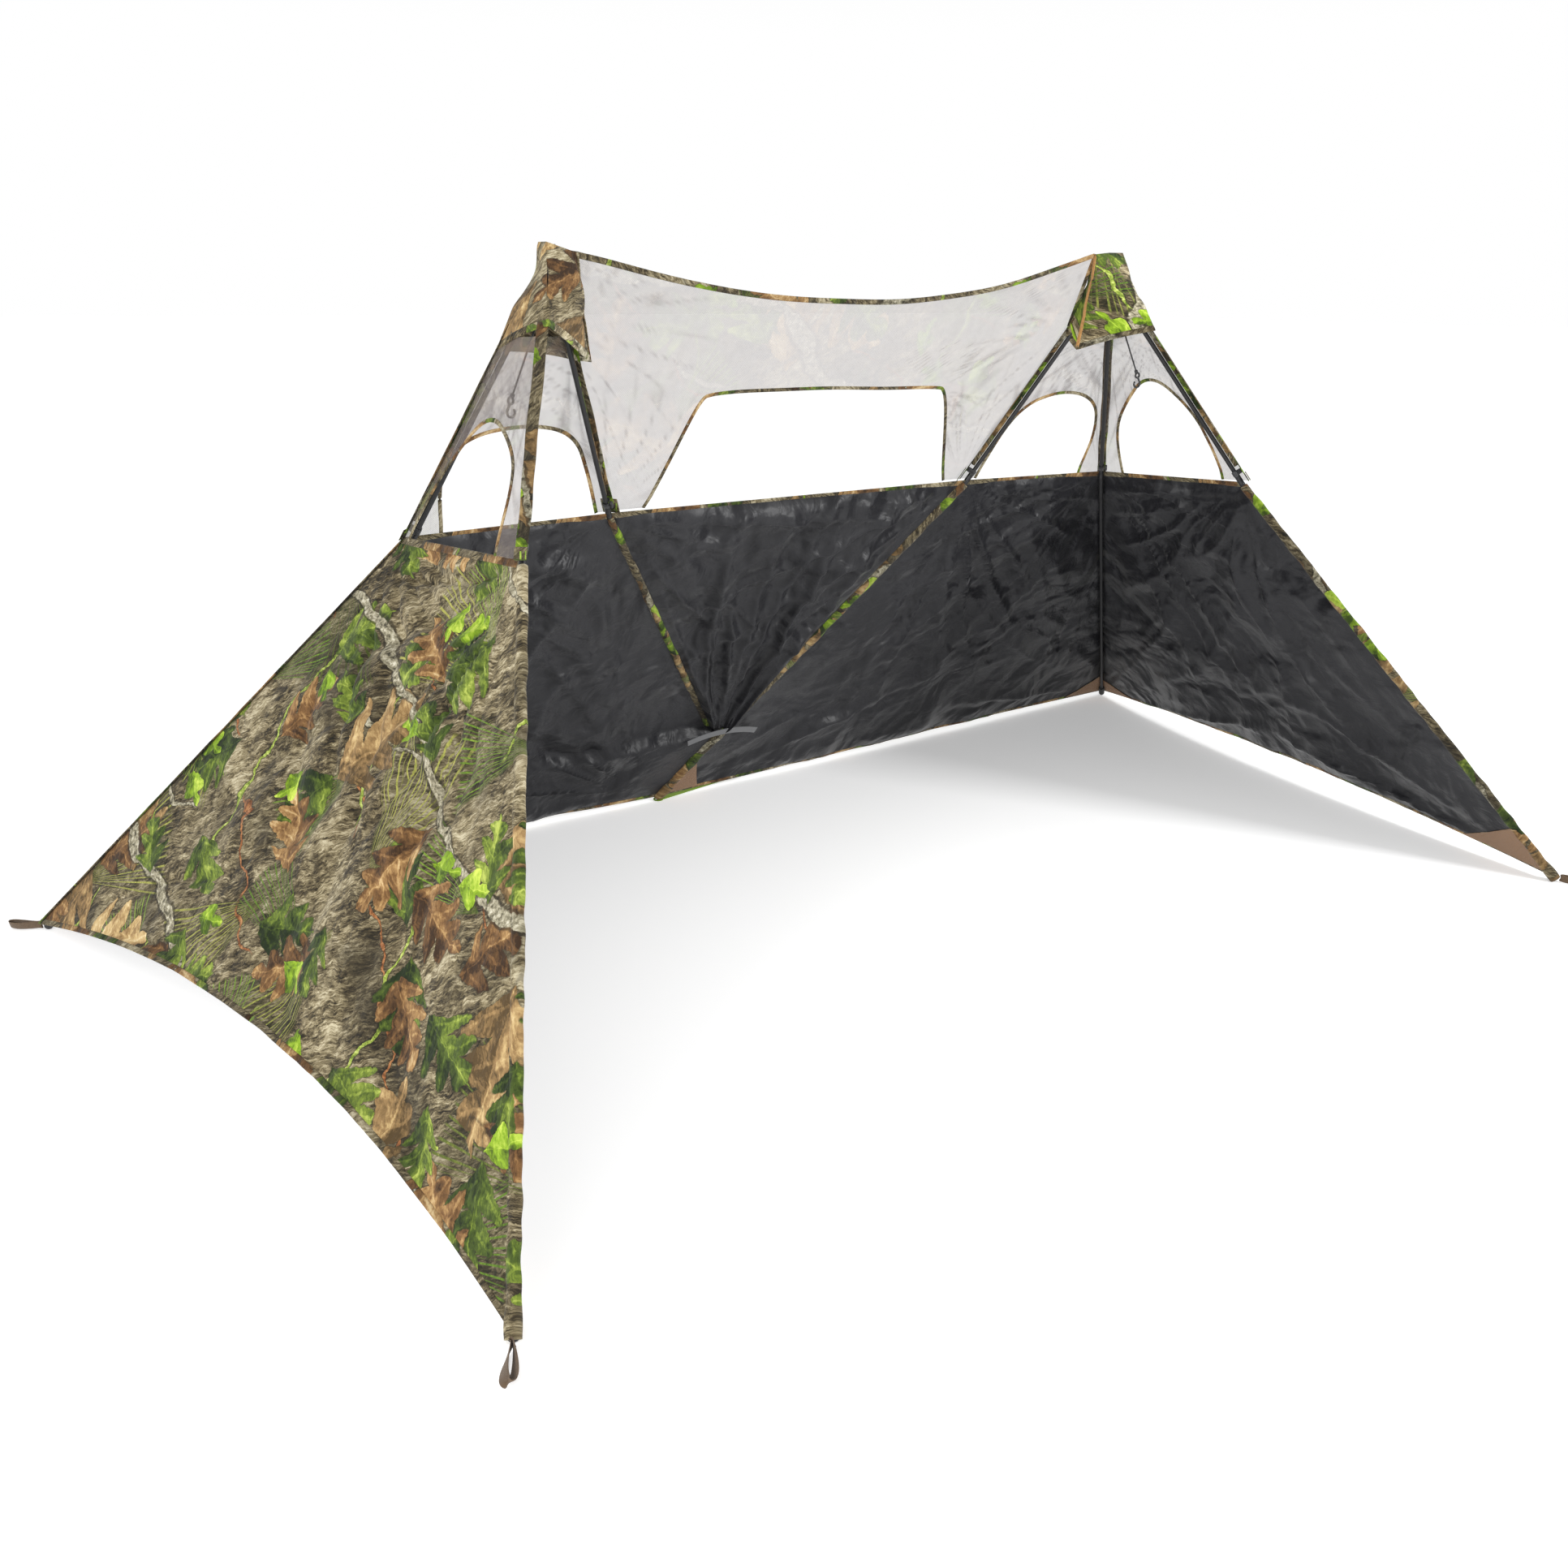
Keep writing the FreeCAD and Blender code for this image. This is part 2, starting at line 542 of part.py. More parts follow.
def build_handle():
    """The webbing carry handle, bowed across the right centre leg just above the crossing."""
    leg = right_centre
    share = (leg.knee.z - size("handle_height")) / (leg.knee.z - leg.foot.z)
    middle = leg.knee + (leg.foot - leg.knee) * share
    across = Vector(1, 0, 0)
    normal = leg.lower.cross(across).normalize()
    if normal.y > 0:
        normal = normal * -1
    up = across.cross(normal)
    if up.z < 0:
        up = up * -1
    gap = size("sleeve_diameter") / 2 + size("handle_clearance")
    length = size("handle_length")
    radius = (length ** 2 / 4 + size("handle_rise") ** 2) / (2 * size("handle_rise"))
    half_angle = math.degrees(math.asin(length / 2 / radius))
    outer = Part.makeCylinder(radius + size("webbing_width"), size("webbing_thickness"))
    band = outer.cut(Part.makeCylinder(radius, size("webbing_thickness")))
    wedge = Part.Face(Part.makePolygon([Vector(), Vector(
        -math.sin(math.radians(half_angle)), math.cos(math.radians(half_angle)), 0) * radius * 1.5,
        Vector(math.sin(math.radians(half_angle)), math.cos(math.radians(half_angle)), 0) * radius * 1.5,
        Vector()])).extrude(UP * size("webbing_thickness"))
    band = band.common(wedge)
    start = middle + normal * gap - up * (radius - size("handle_rise") + size("webbing_width") / 2)
    keep(feature("handle", band), "carry_handle",
         Placement(start, Rotation(across, up, normal, "ZXY")))


def build_foot_strap():
    """The ground strap that ties the two centre feet together, with an eyelet round each boot."""
    first = Vector(right_centre.foot.x, right_centre.foot.y, 0)
    second = Vector(left_centre.foot.x, left_centre.foot.y, 0)
    run = second - first
    along = Rotation(run, Vector(), UP, "ZXY")
    bar = primitive("Box", "foot_strap_bar", {
        "Width": "@foot_strap_width", "Height": "@foot_strap_thickness"},
        Placement(first, along).multiply(at(0, -size("foot_strap_width") / 2, 0)))
    bar.Length = run.Length
    rings = [primitive("Cylinder", f"foot_strap_ring_{number}", {
        "Radius": "@foot_strap_ring / 2", "Height": "@foot_strap_thickness"}, Placement(end, Rotation()))
        for number, end in enumerate((first, second))]
    holes = [primitive("Cylinder", f"foot_strap_hole_{number}", {
        "Radius": "@foot_strap_hole / 2", "Height": "@foot_strap_thickness"}, Placement(end, Rotation()))
        for number, end in enumerate((first, second))]
    body = fuse("foot_strap_body", [bar] + rings)
    keep(cut("foot_strap_cut", body, fuse("foot_strap_holes", holes)), "centre_foot_strap")


# ---------------------------------------------------------------- window hooks
def build_hook(side_name, rear, front):
    """The shock cord that hangs from a hub and the hook on it that holds the side window's peak."""
    hub = rear.hub
    middle = (rear.seam_knee() + front.seam_knee()) * 0.5
    out = Vector(middle.x - hub.x, middle.y - hub.y, 0).normalize()
    start = hub + out * size("cord_hub_radius") - UP * size("cord_top_drop")
    lean = math.radians(size("cord_lean"))
    down = out * math.sin(lean) - UP * math.cos(lean)
    across = UP.cross(out)
    frame = Placement(start, Rotation(across, Vector(), down, "ZXY"))
    cord = primitive("Cylinder", f"cord_{side_name}", {
        "Radius": "@cord_diameter / 2", "Height": "@cord_length"})
    keep(cord, f"hook_cord_{side_name}", frame)
    collar = primitive("Cylinder", f"collar_{side_name}", {
        "Radius": "@hook_bar * 0.9", "Height": "@hook_collar"})
    eye_drop = size("hook_collar") + size("hook_eye_radius")
    flat = Rotation(Vector(0, 1, 0), 90)
    eye = primitive("Torus", f"hook_eye_{side_name}", {
        "Radius1": "@hook_eye_radius", "Radius2": "@hook_bar / 2"}, Placement(Vector(0, 0, eye_drop), flat))
    shank_start = eye_drop + size("hook_eye_radius")
    shank = primitive("Cylinder", f"hook_shank_{side_name}", {
        "Radius": "@hook_bar / 2", "Height": "@hook_shank"}, at(z=shank_start))
    bend = primitive("Torus", f"hook_bend_{side_name}", {
        "Radius1": "@hook_bend_radius", "Radius2": "@hook_bar / 2"})
    bend.Angle3 = 235
    centre = Vector(0, -size("hook_bend_radius"), shank_start + size("hook_shank"))
    bend.Placement = Placement(centre, Rotation(Vector(0, 1, 0), Vector(0, 0, 1), Vector(1, 0, 0), "XYZ"))
    tip = primitive("Sphere", f"hook_tip_{side_name}", {"Radius": "@hook_bar / 2"})
    turn = math.radians(235)
    tip.Placement = Placement(centre + Vector(0, math.cos(turn), math.sin(turn)) * size("hook_bend_radius"),
                              Rotation())
    hook = fuse(f"hook_{side_name}", [collar, eye, shank, bend, tip])
    keep(hook, f"window_hook_{side_name}", frame.multiply(at(z=size("cord_length"))))


# ---------------------------------------------------------------- the whole blind
for leg in LEGS:
    build_knuckle(leg)
    build_poles(leg)
    build_ferrule(leg)
    build_boot(leg)
build_hub("left", [left_rear, left_front, left_centre])
build_hub("right", [right_rear, right_front, right_centre])
build_cap("left", left_rear, left_front, left_centre)
build_cap("right", right_rear, right_front, right_centre)
build_fabric()
for leg in (left_rear, left_front, right_rear, right_front):
    build_stake_loop(leg)
build_handle()
build_foot_strap()
build_hook("left", left_rear, left_front)
build_hook("right", right_rear, right_front)
doc.recompute()

for thing in doc.Objects:
    assert not {"Invalid", "Error"} & set(thing.State), thing.Name
os.makedirs("parts", exist_ok=True)
for part in PARTS:
    shape = part.Shape
    assert not shape.isNull() and shape.isValid() and shape.Volume > 0, part.Label
    shape.exportStep(f"parts/{part.Label}.step")

print("joint points")
for leg in LEGS:
    print(leg.name, "pivot", leg.pivot, "pin", leg.pin, "knee", leg.knee, "foot", leg.foot)
whole = Part.makeCompound([part.Shape for part in PARTS]).BoundBox
print("box", whole)
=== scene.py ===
"""Looks for a pop up ground blind: two three-legged hub frames with five bays of cloth between the legs.
Each bay is a wall, black inside and printed outside, under netting with a window. Sizes are in metres."""
import json
import math

import bpy
import numpy as np
from mathutils import Matrix, Vector


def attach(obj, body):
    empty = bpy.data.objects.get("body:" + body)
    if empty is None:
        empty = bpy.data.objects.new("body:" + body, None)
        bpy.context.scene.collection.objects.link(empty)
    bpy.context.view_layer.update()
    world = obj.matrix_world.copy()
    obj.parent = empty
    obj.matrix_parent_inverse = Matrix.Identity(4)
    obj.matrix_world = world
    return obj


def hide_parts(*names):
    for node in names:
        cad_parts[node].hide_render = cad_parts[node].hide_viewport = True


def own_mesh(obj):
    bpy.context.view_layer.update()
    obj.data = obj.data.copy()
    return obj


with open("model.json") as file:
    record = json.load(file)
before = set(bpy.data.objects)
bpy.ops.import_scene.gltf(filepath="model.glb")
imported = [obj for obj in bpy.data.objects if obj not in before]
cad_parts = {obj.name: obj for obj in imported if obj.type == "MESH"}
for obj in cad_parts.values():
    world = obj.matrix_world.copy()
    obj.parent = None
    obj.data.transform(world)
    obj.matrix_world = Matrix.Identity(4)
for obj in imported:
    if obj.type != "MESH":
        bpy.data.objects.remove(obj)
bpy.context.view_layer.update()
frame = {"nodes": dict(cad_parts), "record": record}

# ---------------------------------------------------------------- sizes shared with the frame
POLE_RADIUS = 0.0055
UPPER_START = 0.020
UPPER_REACH = 0.567
POLE_END_GAP = 0.001
BOOT_FLOOR = 0.006
BOOT_LENGTH = 0.036
HUB_RADIUS = 0.034
SEAM_OFFSET = 0.018
CORD_DIAMETER = 0.004

# ---------------------------------------------------------------- sizes of the looks
CLOTH = 0.0008
SLEEVE_RADIUS = 0.0088
BOOT_OVERLAP = 0.006
TAPE_WIDTH = 0.023
HEM_WIDTH = 0.016
WINDOW_BINDING = 0.009
GRID_STEP = 0.009
NET_STEP = 0.011
NET_ROWS = 34
WALL_REACH = 1.15
SLEEVE_HALF = {"left_centre": 0.0095, "right_centre": 0.0175}
SLEEVE_HALF_AT_EDGES = 0.0135
SLEEVE_OVER_BOOT = 0.0125
LOOP_LENGTH = 0.076
LOOP_POINTS = 60
STRAP_POINTS = 24

# ---------------------------------------------------------------- the photograph's camera and the stage
CAMERA_PLACE = (-2.0618, -2.4204, 1.4271)
CAMERA_YAW, CAMERA_PITCH, CAMERA_ROLL = (math.radians(angle) for angle in (35.43, -19.90, 0.58))
SENSOR_WIDTH = 36.0
LENS = 31.68
FLOOR_REACH = 60
FLOOR_LEVEL = -0.001
FLOOR_GLOW = 0.32
UP = np.array((0.0, 0.0, 1.0))
INSIDE = np.array((0.0, 0.0, 0.7))


# ---------------------------------------------------------------- small helpers
def unit(vector):
    """The vector, or each row of vectors, made one long."""
    return vector / np.linalg.norm(vector, axis=-1, keepdims=True)


def lerp(start, end, share):
    """The value at that share of the way between two."""
    return start + (end - start) * share


def waves(across, along, size, seed, count=10):
    """A smooth random field of about -1 to 1 whose bumps are of that size."""
    random = np.random.default_rng(seed)
    total = np.zeros(np.broadcast(across, along).shape)
    for _ in range(count):
        heading = random.uniform(0, 2 * math.pi)
        pitch = 2 * math.pi / size * random.uniform(0.6, 1.5)
        phase = random.uniform(0, 2 * math.pi)
        total = total + np.sin(pitch * (across * math.cos(heading) + along * math.sin(heading)) + phase)
    return total / math.sqrt(count)


def creases(across, along, size, seed):
    """Folds between smooth patches, 0 to about 1 on a fold."""
    return 1 / (1 + (waves(across, along, size, seed) / 0.28) ** 2)


def smooth(points, rounds=3):
    """Corner cutting: the points of an outline, rounded between its ends."""
    line = np.array(points, float)
    for _ in range(rounds):
        near = lerp(line[:-1], line[1:], 0.25)
        far = lerp(line[:-1], line[1:], 0.75)
        cut = np.stack([near, far], 1).reshape(-1, line.shape[1])
        line = np.vstack([line[:1], cut[1:-1], line[-1:]])
    return line


def travel(points, whole=False):
    """How far along a polyline each of its points is, in metres or as a share of the whole."""
    steps = np.linalg.norm(np.diff(points, axis=0), axis=1)
    travelled = np.concatenate([[0], np.cumsum(steps)])
    return travelled / steps.sum() if whole else travelled


def along(points, shares):
    """Points at those shares of a polyline's length."""
    points = np.array(points, float)
    return np.stack([np.interp(shares, travel(points, whole=True), column) for column in points.T], -1)


def squarish(wave, power):
    """A sine or cosine drawn out towards -1 and 1, which squares off a rounded section."""
    return np.sign(wave) * np.abs(wave) ** power


def inward(first, second, place):
    """Square to both directions, on the side towards the middle of the blind."""
    facing = unit(np.cross(first, second))
    return -facing if (INSIDE - place) @ facing < 0 else facing


def added(name, data):
    """A new object in the scene with that data."""
    made = bpy.data.objects.new(name, data)
    bpy.context.scene.collection.objects.link(made)
    return made


def pole_ends(node):
    """The middle of a pole's upper end and of its lower end."""
    points = np.unique(np.round([tuple(v.co) for v in frame["nodes"][node].data.vertices], 6), axis=0)
    middle = (points[:, 2].min() + points[:, 2].max()) / 2
    return points[points[:, 2] > middle].mean(0), points[points[:, 2] < middle].mean(0)


class Leg:
    """The lines of one pole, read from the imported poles."""

    def __init__(self, name):
        self.name = name
        self.body = name + "_leg"
        side, place = name.split("_")
        self.side = side
        self.joint = f"{side}_foot_lean" if place == "centre" else f"{name}_fold"
        top, bottom = pole_ends("upper_pole_" + name)
        start, toe = pole_ends("lower_pole_" + name)
        self.upper = unit(bottom - top)
        self.lower = unit(toe - start)
        self.pivot = top - self.upper * UPPER_START
        self.knee = start - self.lower * POLE_END_GAP
        self.foot = toe + self.lower * BOOT_FLOOR
        self.out = unit(self.upper * (1, 1, 0))
        self.hub = self.pivot - self.out * HUB_RADIUS
        self.outward = unit(np.cross(self.upper, np.cross(UP, self.out)))
        if self.outward @ self.out < 0:
            self.outward = -self.outward

    def on_upper(self, distance, offset=0.0):
        """The point that far down the upper pole, offset outwards."""
        return self.pivot + self.upper * distance + self.outward * offset

    def seam_knee(self):
        """Where the netting's seam reaches the knee."""
        return self.on_upper(UPPER_REACH, SEAM_OFFSET)

    def wall_line(self):
        """Where the walls are sewn: along the sleeve, or outside a rear corner's pole."""
        if "rear" in self.name:
            level = unit(self.lower * (1, 1, 0))
            toe = self.foot - level * (SEAM_OFFSET / self.lower[2])
            return np.array([self.seam_knee(), toe - unit(toe - self.seam_knee()) * 0.012])
        return np.array([self.knee, self.foot - self.lower * 0.008])


LEGS = {name: Leg(name) for name in ("left_rear", "left_front", "left_centre",
                                     "right_rear", "right_front", "right_centre")}


# ---------------------------------------------------------------- making meshes
def make_mesh(name, points, faces, materials, coords=None, normals=None, face_materials=None):
    """An object from arrays, with a map of its cloth in metres and smooth faces."""
    mesh = bpy.data.meshes.new(name)
    mesh.from_pydata([tuple(p) for p in points], [], [tuple(f) for f in faces])
    for material in materials:
        mesh.materials.append(material)
    mesh.polygons.foreach_set("use_smooth", np.ones(len(mesh.polygons), bool))
    if face_materials is not None:
        mesh.polygons.foreach_set("material_index", np.array(face_materials, np.int32))
    if coords is not None:
        layer = mesh.uv_layers.new(name="print")
        corners = np.zeros(len(mesh.loops), np.int32)
        mesh.loops.foreach_get("vertex_index", corners)
        layer.data.foreach_set("uv", np.array(coords, np.float32)[corners].ravel())
    mesh.update()
    if normals is not None:
        mesh.normals_split_custom_set_from_vertices([tuple(n) for n in normals])
    return added(name, mesh)


def grid_faces(rows, columns, start=0, flip=False):
    """The quads of a grid of points stored row by row."""
    corner = (np.arange(rows - 1)[:, None] * columns + np.arange(columns - 1)[None, :]).ravel() + start
    quads = np.stack([corner, corner + 1, corner + columns + 1, corner + columns], 1)
    return quads[:, ::-1] if flip else quads


def grid_normals(points):
    """Normals of a grid of points, by differences between neighbours."""
    return unit(np.cross(np.gradient(points, axis=0), np.gradient(points, axis=1)) + 1e-12)


def sheet_normals(points, facing):
    """A grid's normals, on the side that faces that way."""
    normals = grid_normals(points)
    return -normals if (normals @ facing).mean() < 0 else normals


def wound(points, normals, *others):
    """The same grids, with their columns reversed where the quads would face against the normals."""
    grids = (points, normals) + others
    if (grid_normals(points) * normals).sum() > 0:
        return [grid[:, ::-1] for grid in grids]
    return grids


def double_sheet(name, points, normals, coords, inner, outer, apart=None):
    """A closed sheet from a grid: its inner face is on the side its normals point to. The two faces lie
    apart along the normals, or along that one direction."""
    points, normals, coords = wound(points, normals, coords)
    rows, columns = points.shape[:2]
    count = rows * columns
    flat = points.reshape(-1, 3)
    facing = normals.reshape(-1, 3)
    offset = (facing if apart is None else apart) * CLOTH
    front = flat + offset
    back = flat - offset
    quads = grid_faces(rows, columns)
    halves = np.vstack([quads[:, [0, 1, 2]], quads[:, [0, 2, 3]]])
    rim = np.concatenate([np.arange(columns), np.arange(1, rows) * columns + columns - 1,
                          count - 2 - np.arange(columns - 1),
                          (np.arange(rows - 2, 0, -1)) * columns])
    after = np.roll(rim, -1)
    edges = np.vstack([np.stack([rim, rim + count, after + count], 1),
                       np.stack([rim, after + count, after], 1)])
    faces = np.vstack([halves, halves[:, ::-1] + count, edges])
    kinds = np.concatenate([np.zeros(len(halves)), np.ones(len(halves) + len(edges))])
    return make_mesh(name, np.vstack([front, back]), faces, [inner, outer],
                     np.vstack([coords.reshape(-1, 2)] * 2), np.vstack([facing, -facing]), kinds)


def ribbon(name, points, normals, width, material, thickness=0.0016, begin=0.0):
    """A folded tape along a line: its flat side faces the normals."""
    points = np.array(points, float)
    normals = unit(np.array(normals, float) * np.ones_like(points))
    run = unit(np.gradient(points, axis=0))
    across = unit(np.cross(run, normals))
    travelled = begin + travel(points)
    section = np.linspace(0, 2 * math.pi, 10, endpoint=False)
    wide = squarish(np.cos(section), 0.6) * width / 2
    deep = squarish(np.sin(section), 0.6) * thickness / 2
    rings = points[:, None] + across[:, None] * wide[None, :, None] + normals[:, None] * deep[None, :, None]
    coords = np.stack([travelled[:, None] + 0 * wide, wide[None, :] + 0 * travelled[:, None]], -1)
    return tube_mesh(name, rings, coords, material)


def tube_mesh(name, rings, coords, material):
    """Rings of points joined into a closed tube with flat ends."""
    count, sides = rings.shape[:2]
    faces = []
    for ring in range(count - 1):
        for side in range(sides):
            after = (side + 1) % sides
            first, second = ring * sides, (ring + 1) * sides
            faces.append((first + side, second + side, second + after, first + after))
    faces.append(tuple(range(sides)))
    faces.append(tuple(reversed(range((count - 1) * sides, count * sides))))
    return make_mesh(name, rings.reshape(-1, 3), faces, [material], coords.reshape(-1, 2))


def hoop_faces(count, sides):
    """The quads of rings of points that go round and close on the first ring."""
    ring, side = np.divmod(np.arange(count * sides), sides)
    next_ring = (ring + 1) % count * sides
    next_side = (side + 1) % sides
    ring = ring * sides
    return np.stack([ring + side, next_ring + side, next_ring + next_side, ring + next_side], 1)


def joined(name, pieces):
    """Several objects as one."""
    with bpy.context.temp_override(active_object=pieces[0], object=pieces[0], selected_objects=pieces,
                                   selected_editable_objects=pieces):
        bpy.ops.object.join()
    pieces[0].name = name
    return pieces[0]


# ---------------------------------------------------------------- materials
class Graph:
    """A material's nodes, written as expressions."""

    def __init__(self, name):
        self.material = bpy.data.materials.new(name)
        self.material.use_nodes = True
        self.tree = self.material.node_tree
        self.shader = self.tree.nodes["Principled BSDF"]

    def add(self, kind, inputs, **settings):
        """A node's outputs. Inputs are named or numbered, and are values or other nodes' outputs."""
        made = self.tree.nodes.new("ShaderNode" + kind)
        for key, value in settings.items():
            setattr(made, key, value)
        for key, value in inputs.items():
            if isinstance(value, bpy.types.NodeSocket):
                self.tree.links.new(value, made.inputs[key])
            else:
                made.inputs[key].default_value = value
        return made.outputs

    def math(self, operation, *values, clamp=False):
        """The result of a Math node."""
        return self.add("Math", dict(enumerate(values)), operation=operation, use_clamp=clamp)[0]

    def times(self, first, second):
        return self.math("MULTIPLY", first, second)

    def plus(self, first, second):
        return self.math("ADD", first, second)

    def minus(self, first, second):
        return self.math("SUBTRACT", first, second)

    def scaled(self, value, factor, shift, clamp=False):
        """The value times the factor, plus the shift."""
        return self.math("MULTIPLY_ADD", value, factor, shift, clamp=clamp)

    def sine(self, value):
        return self.math("SINE", value)

    def amount(self, value):
        """The value without its sign."""
        return self.math("ABSOLUTE", value)

    def turned(self, vector, angle):
        """The vector, turned about Z."""
        return self.add("VectorRotate", {"Vector": vector, "Angle": angle}, rotation_type="Z_AXIS")[0]

    def vector(self, operation, *values):
        """The result of a Vector Math node."""
        return self.add("VectorMath", dict(enumerate(values)), operation=operation)[0]

    def mix(self, factor, first, second, blend="MIX"):
        """The first colour at a factor of 0, and the second at 1."""
        return self.add("Mix", {0: factor, 6: first, 7: second}, data_type="RGBA", blend_type=blend)[2]

    def noise(self, vector, scale, detail=4.0, roughness=0.5, distortion=0.0):
        """Fractal noise, about 0.5 on average."""
        return self.add("TexNoise", {"Vector": vector, "Scale": scale, "Detail": detail,
                                     "Roughness": roughness, "Distortion": distortion})[0]

    def above(self, value, level, softness):
        """0 below the level, rising to 1 over that softness."""
        return self.add("MapRange", {"Value": value, "From Min": level, "From Max": level + softness},
                        interpolation_type="SMOOTHSTEP")[0]

    def ramp(self, factor, stops):
        """The colour at that place along the stops."""
        made = self.tree.nodes.new("ShaderNodeValToRGB")
        self.tree.links.new(factor, made.inputs[0])
        points = made.color_ramp.elements
        while len(points) < len(stops):
            points.new(0.5)
        for point, (place, colour) in zip(points, stops):
            point.position = place
            point.color = (*colour, 1)
        return made.outputs[0]

    def cloth(self):
        """The place on the cloth, in metres."""
        return self.add("UVMap", {}, uv_map="print")[0]

    def solid(self):
        """The place on the piece, in metres."""
        return self.add("TexCoord", {})["Object"]

    def bump(self, height, distance, strength=1.0, under=None):
        """A normal bent by that height, over another bump where one is given."""
        inputs = {"Height": height, "Distance": distance, "Strength": strength}
        if under is not None:
            inputs["Normal"] = under
        return self.add("Bump", inputs)[0]

    def finish(self, colour=None, normal=None, **values):
        """The material, with its shader's sockets set. Spaces in their names are written as underscores."""
        for socket, value in (("Base Color", colour), ("Normal", normal)):
            if value is not None:
                self.tree.links.new(value, self.shader.inputs[socket])
        for key, value in values.items():
            socket = self.shader.inputs[key.replace("_", " ")]
            if isinstance(value, bpy.types.NodeSocket):
                self.tree.links.new(value, socket)
            else:
                socket.default_value = value
        return self.material


def weave(graph, place, pitch):
    """Over and under threads as a height of 0 to 1."""
    axes = graph.add("SeparateXYZ", {0: place})
    turns = math.pi / pitch
    warp = graph.sine(graph.times(axes[0], turns))
    weft = graph.sine(graph.times(axes[1], turns))
    return graph.scaled(graph.times(warp, weft), 0.5, 0.5)


def cells(graph, place, per_metre, seed):
    """One motif to a cell: its axes, across and along from -0.5 to 0.5, and two random values."""
    spot = graph.vector("MULTIPLY_ADD", place, (per_metre,) * 3, (seed, seed * 1.7, 0))
    cell = graph.add("TexVoronoi", {"Vector": spot, "Scale": 1.0, "Randomness": 0.75},
                     voronoi_dimensions="2D")
    random = graph.add("SeparateColor", {0: cell["Color"]})
    local = graph.vector("SUBTRACT", spot, cell["Position"])
    turn = graph.times(random[0], 2 * math.pi)
    axes = graph.add("SeparateXYZ", {0: graph.turned(local, turn)})
    return axes[0], axes[1], random[1], random[2]


def leaves(graph, place, per_metre, seed, share, lobes, slim):
    """Lobed leaves: where they are, their veins and a random value for each."""
    across, along_leaf, chance, tint = cells(graph, place, per_metre, seed)
    far = graph.amount(graph.scaled(along_leaf, 0.12, across))
    reach = graph.scaled(along_leaf, 1.05, 0.5, clamp=True)
    slant = graph.minus(reach, graph.times(far, 0.8))
    lobe = graph.amount(graph.sine(graph.times(slant, lobes * math.pi)))
    body = graph.sine(graph.times(reach, math.pi))
    width = graph.times(body, graph.scaled(lobe, slim * 0.72, slim * 0.22))
    inside = graph.above(graph.minus(width, far), 0.0, 0.010)
    shown = graph.math("LESS_THAN", chance, share)
    middle = graph.above(graph.minus(0.012, far), 0.0, 0.010)
    veins = graph.math("MAXIMUM", middle, graph.times(graph.above(lobe, 0.975, 0.02), 0.7))
    half = graph.times(graph.above(across, -0.03, 0.06), 1.3)
    veins = graph.minus(veins, half)
    halo = graph.above(graph.minus(width, far), -0.030, 0.045)
    return (graph.times(inside, shown), veins, tint, graph.times(halo, shown))


def needles(graph, place, per_metre, seed, share):
    """Sprays of pine needles that fan out from a point."""
    across, along_leaf, chance, tint = cells(graph, place, per_metre, seed)
    ahead = graph.plus(along_leaf, 0.48)
    heading = graph.math("ARCTAN2", across, ahead)
    first = graph.sine(graph.scaled(heading, 165.0, graph.noise(place, 14.0, 3.0)))
    second = graph.sine(graph.scaled(heading, 97.0, 2.0))
    streak = graph.scaled(second, 0.6, first)
    spread = graph.above(graph.minus(0.46, graph.amount(heading)), 0.0, 0.1)
    near = graph.above(graph.minus(0.5, graph.amount(along_leaf)), 0.0, 0.05)
    fan = graph.times(spread, graph.times(near, graph.math("LESS_THAN", chance, share)))
    return graph.times(fan, graph.above(streak, 0.35, 0.7)), tint, fan


def branches(graph, place, per_metre, seed, turn, width, share):
    """Long thin twigs that wander across the print and stop and start."""
    spot = graph.vector("MULTIPLY_ADD", graph.turned(place, turn), (per_metre,) * 3, (seed, seed * 2.3, 0))
    wander = graph.noise(spot, 0.9, 3.0)
    axis = graph.add("SeparateXYZ", {0: spot})[0]
    line = graph.scaled(wander, 1.1, axis)
    gap = graph.amount(graph.minus(graph.math("FRACT", line), 0.5))
    broken = graph.above(graph.noise(graph.vector("ADD", spot, (7.1, 3.3, 0)), 0.8, 1.0), 1 - share, 0.02)
    thick = graph.scaled(graph.noise(spot, 9.0, 2.0), width, width * 0.5)
    return graph.times(graph.above(graph.minus(thick, gap), 0.0, width * 0.2), broken)


BARK = [(0.31, (0.010, 0.008, 0.004)), (0.42, (0.055, 0.041, 0.020)), (0.50, (0.150, 0.118, 0.062)),
        (0.59, (0.31, 0.255, 0.145)), (0.72, (0.60, 0.53, 0.36))]
DRY_LEAF = [(0.22, (0.040, 0.019, 0.007)), (0.45, (0.20, 0.100, 0.035)), (0.62, (0.45, 0.27, 0.105)),
            (0.80, (0.74, 0.55, 0.29))]
TAN_LEAF = [(0.22, (0.09, 0.055, 0.02)), (0.45, (0.34, 0.21, 0.085)), (0.62, (0.62, 0.44, 0.20)),
            (0.80, (0.80, 0.65, 0.38))]
GREEN_LEAF = [(0.22, (0.010, 0.020, 0.003)), (0.45, (0.068, 0.105, 0.014)), (0.62, (0.20, 0.27, 0.034)),
              (0.80, (0.48, 0.56, 0.11))]
YOUNG_LEAF = [(0.22, (0.05, 0.09, 0.006)), (0.5, (0.26, 0.42, 0.02)), (0.78, (0.66, 0.79, 0.12))]
NEEDLE = [(0.22, (0.02, 0.032, 0.006)), (0.5, (0.12, 0.15, 0.025)), (0.8, (0.48, 0.46, 0.11))]
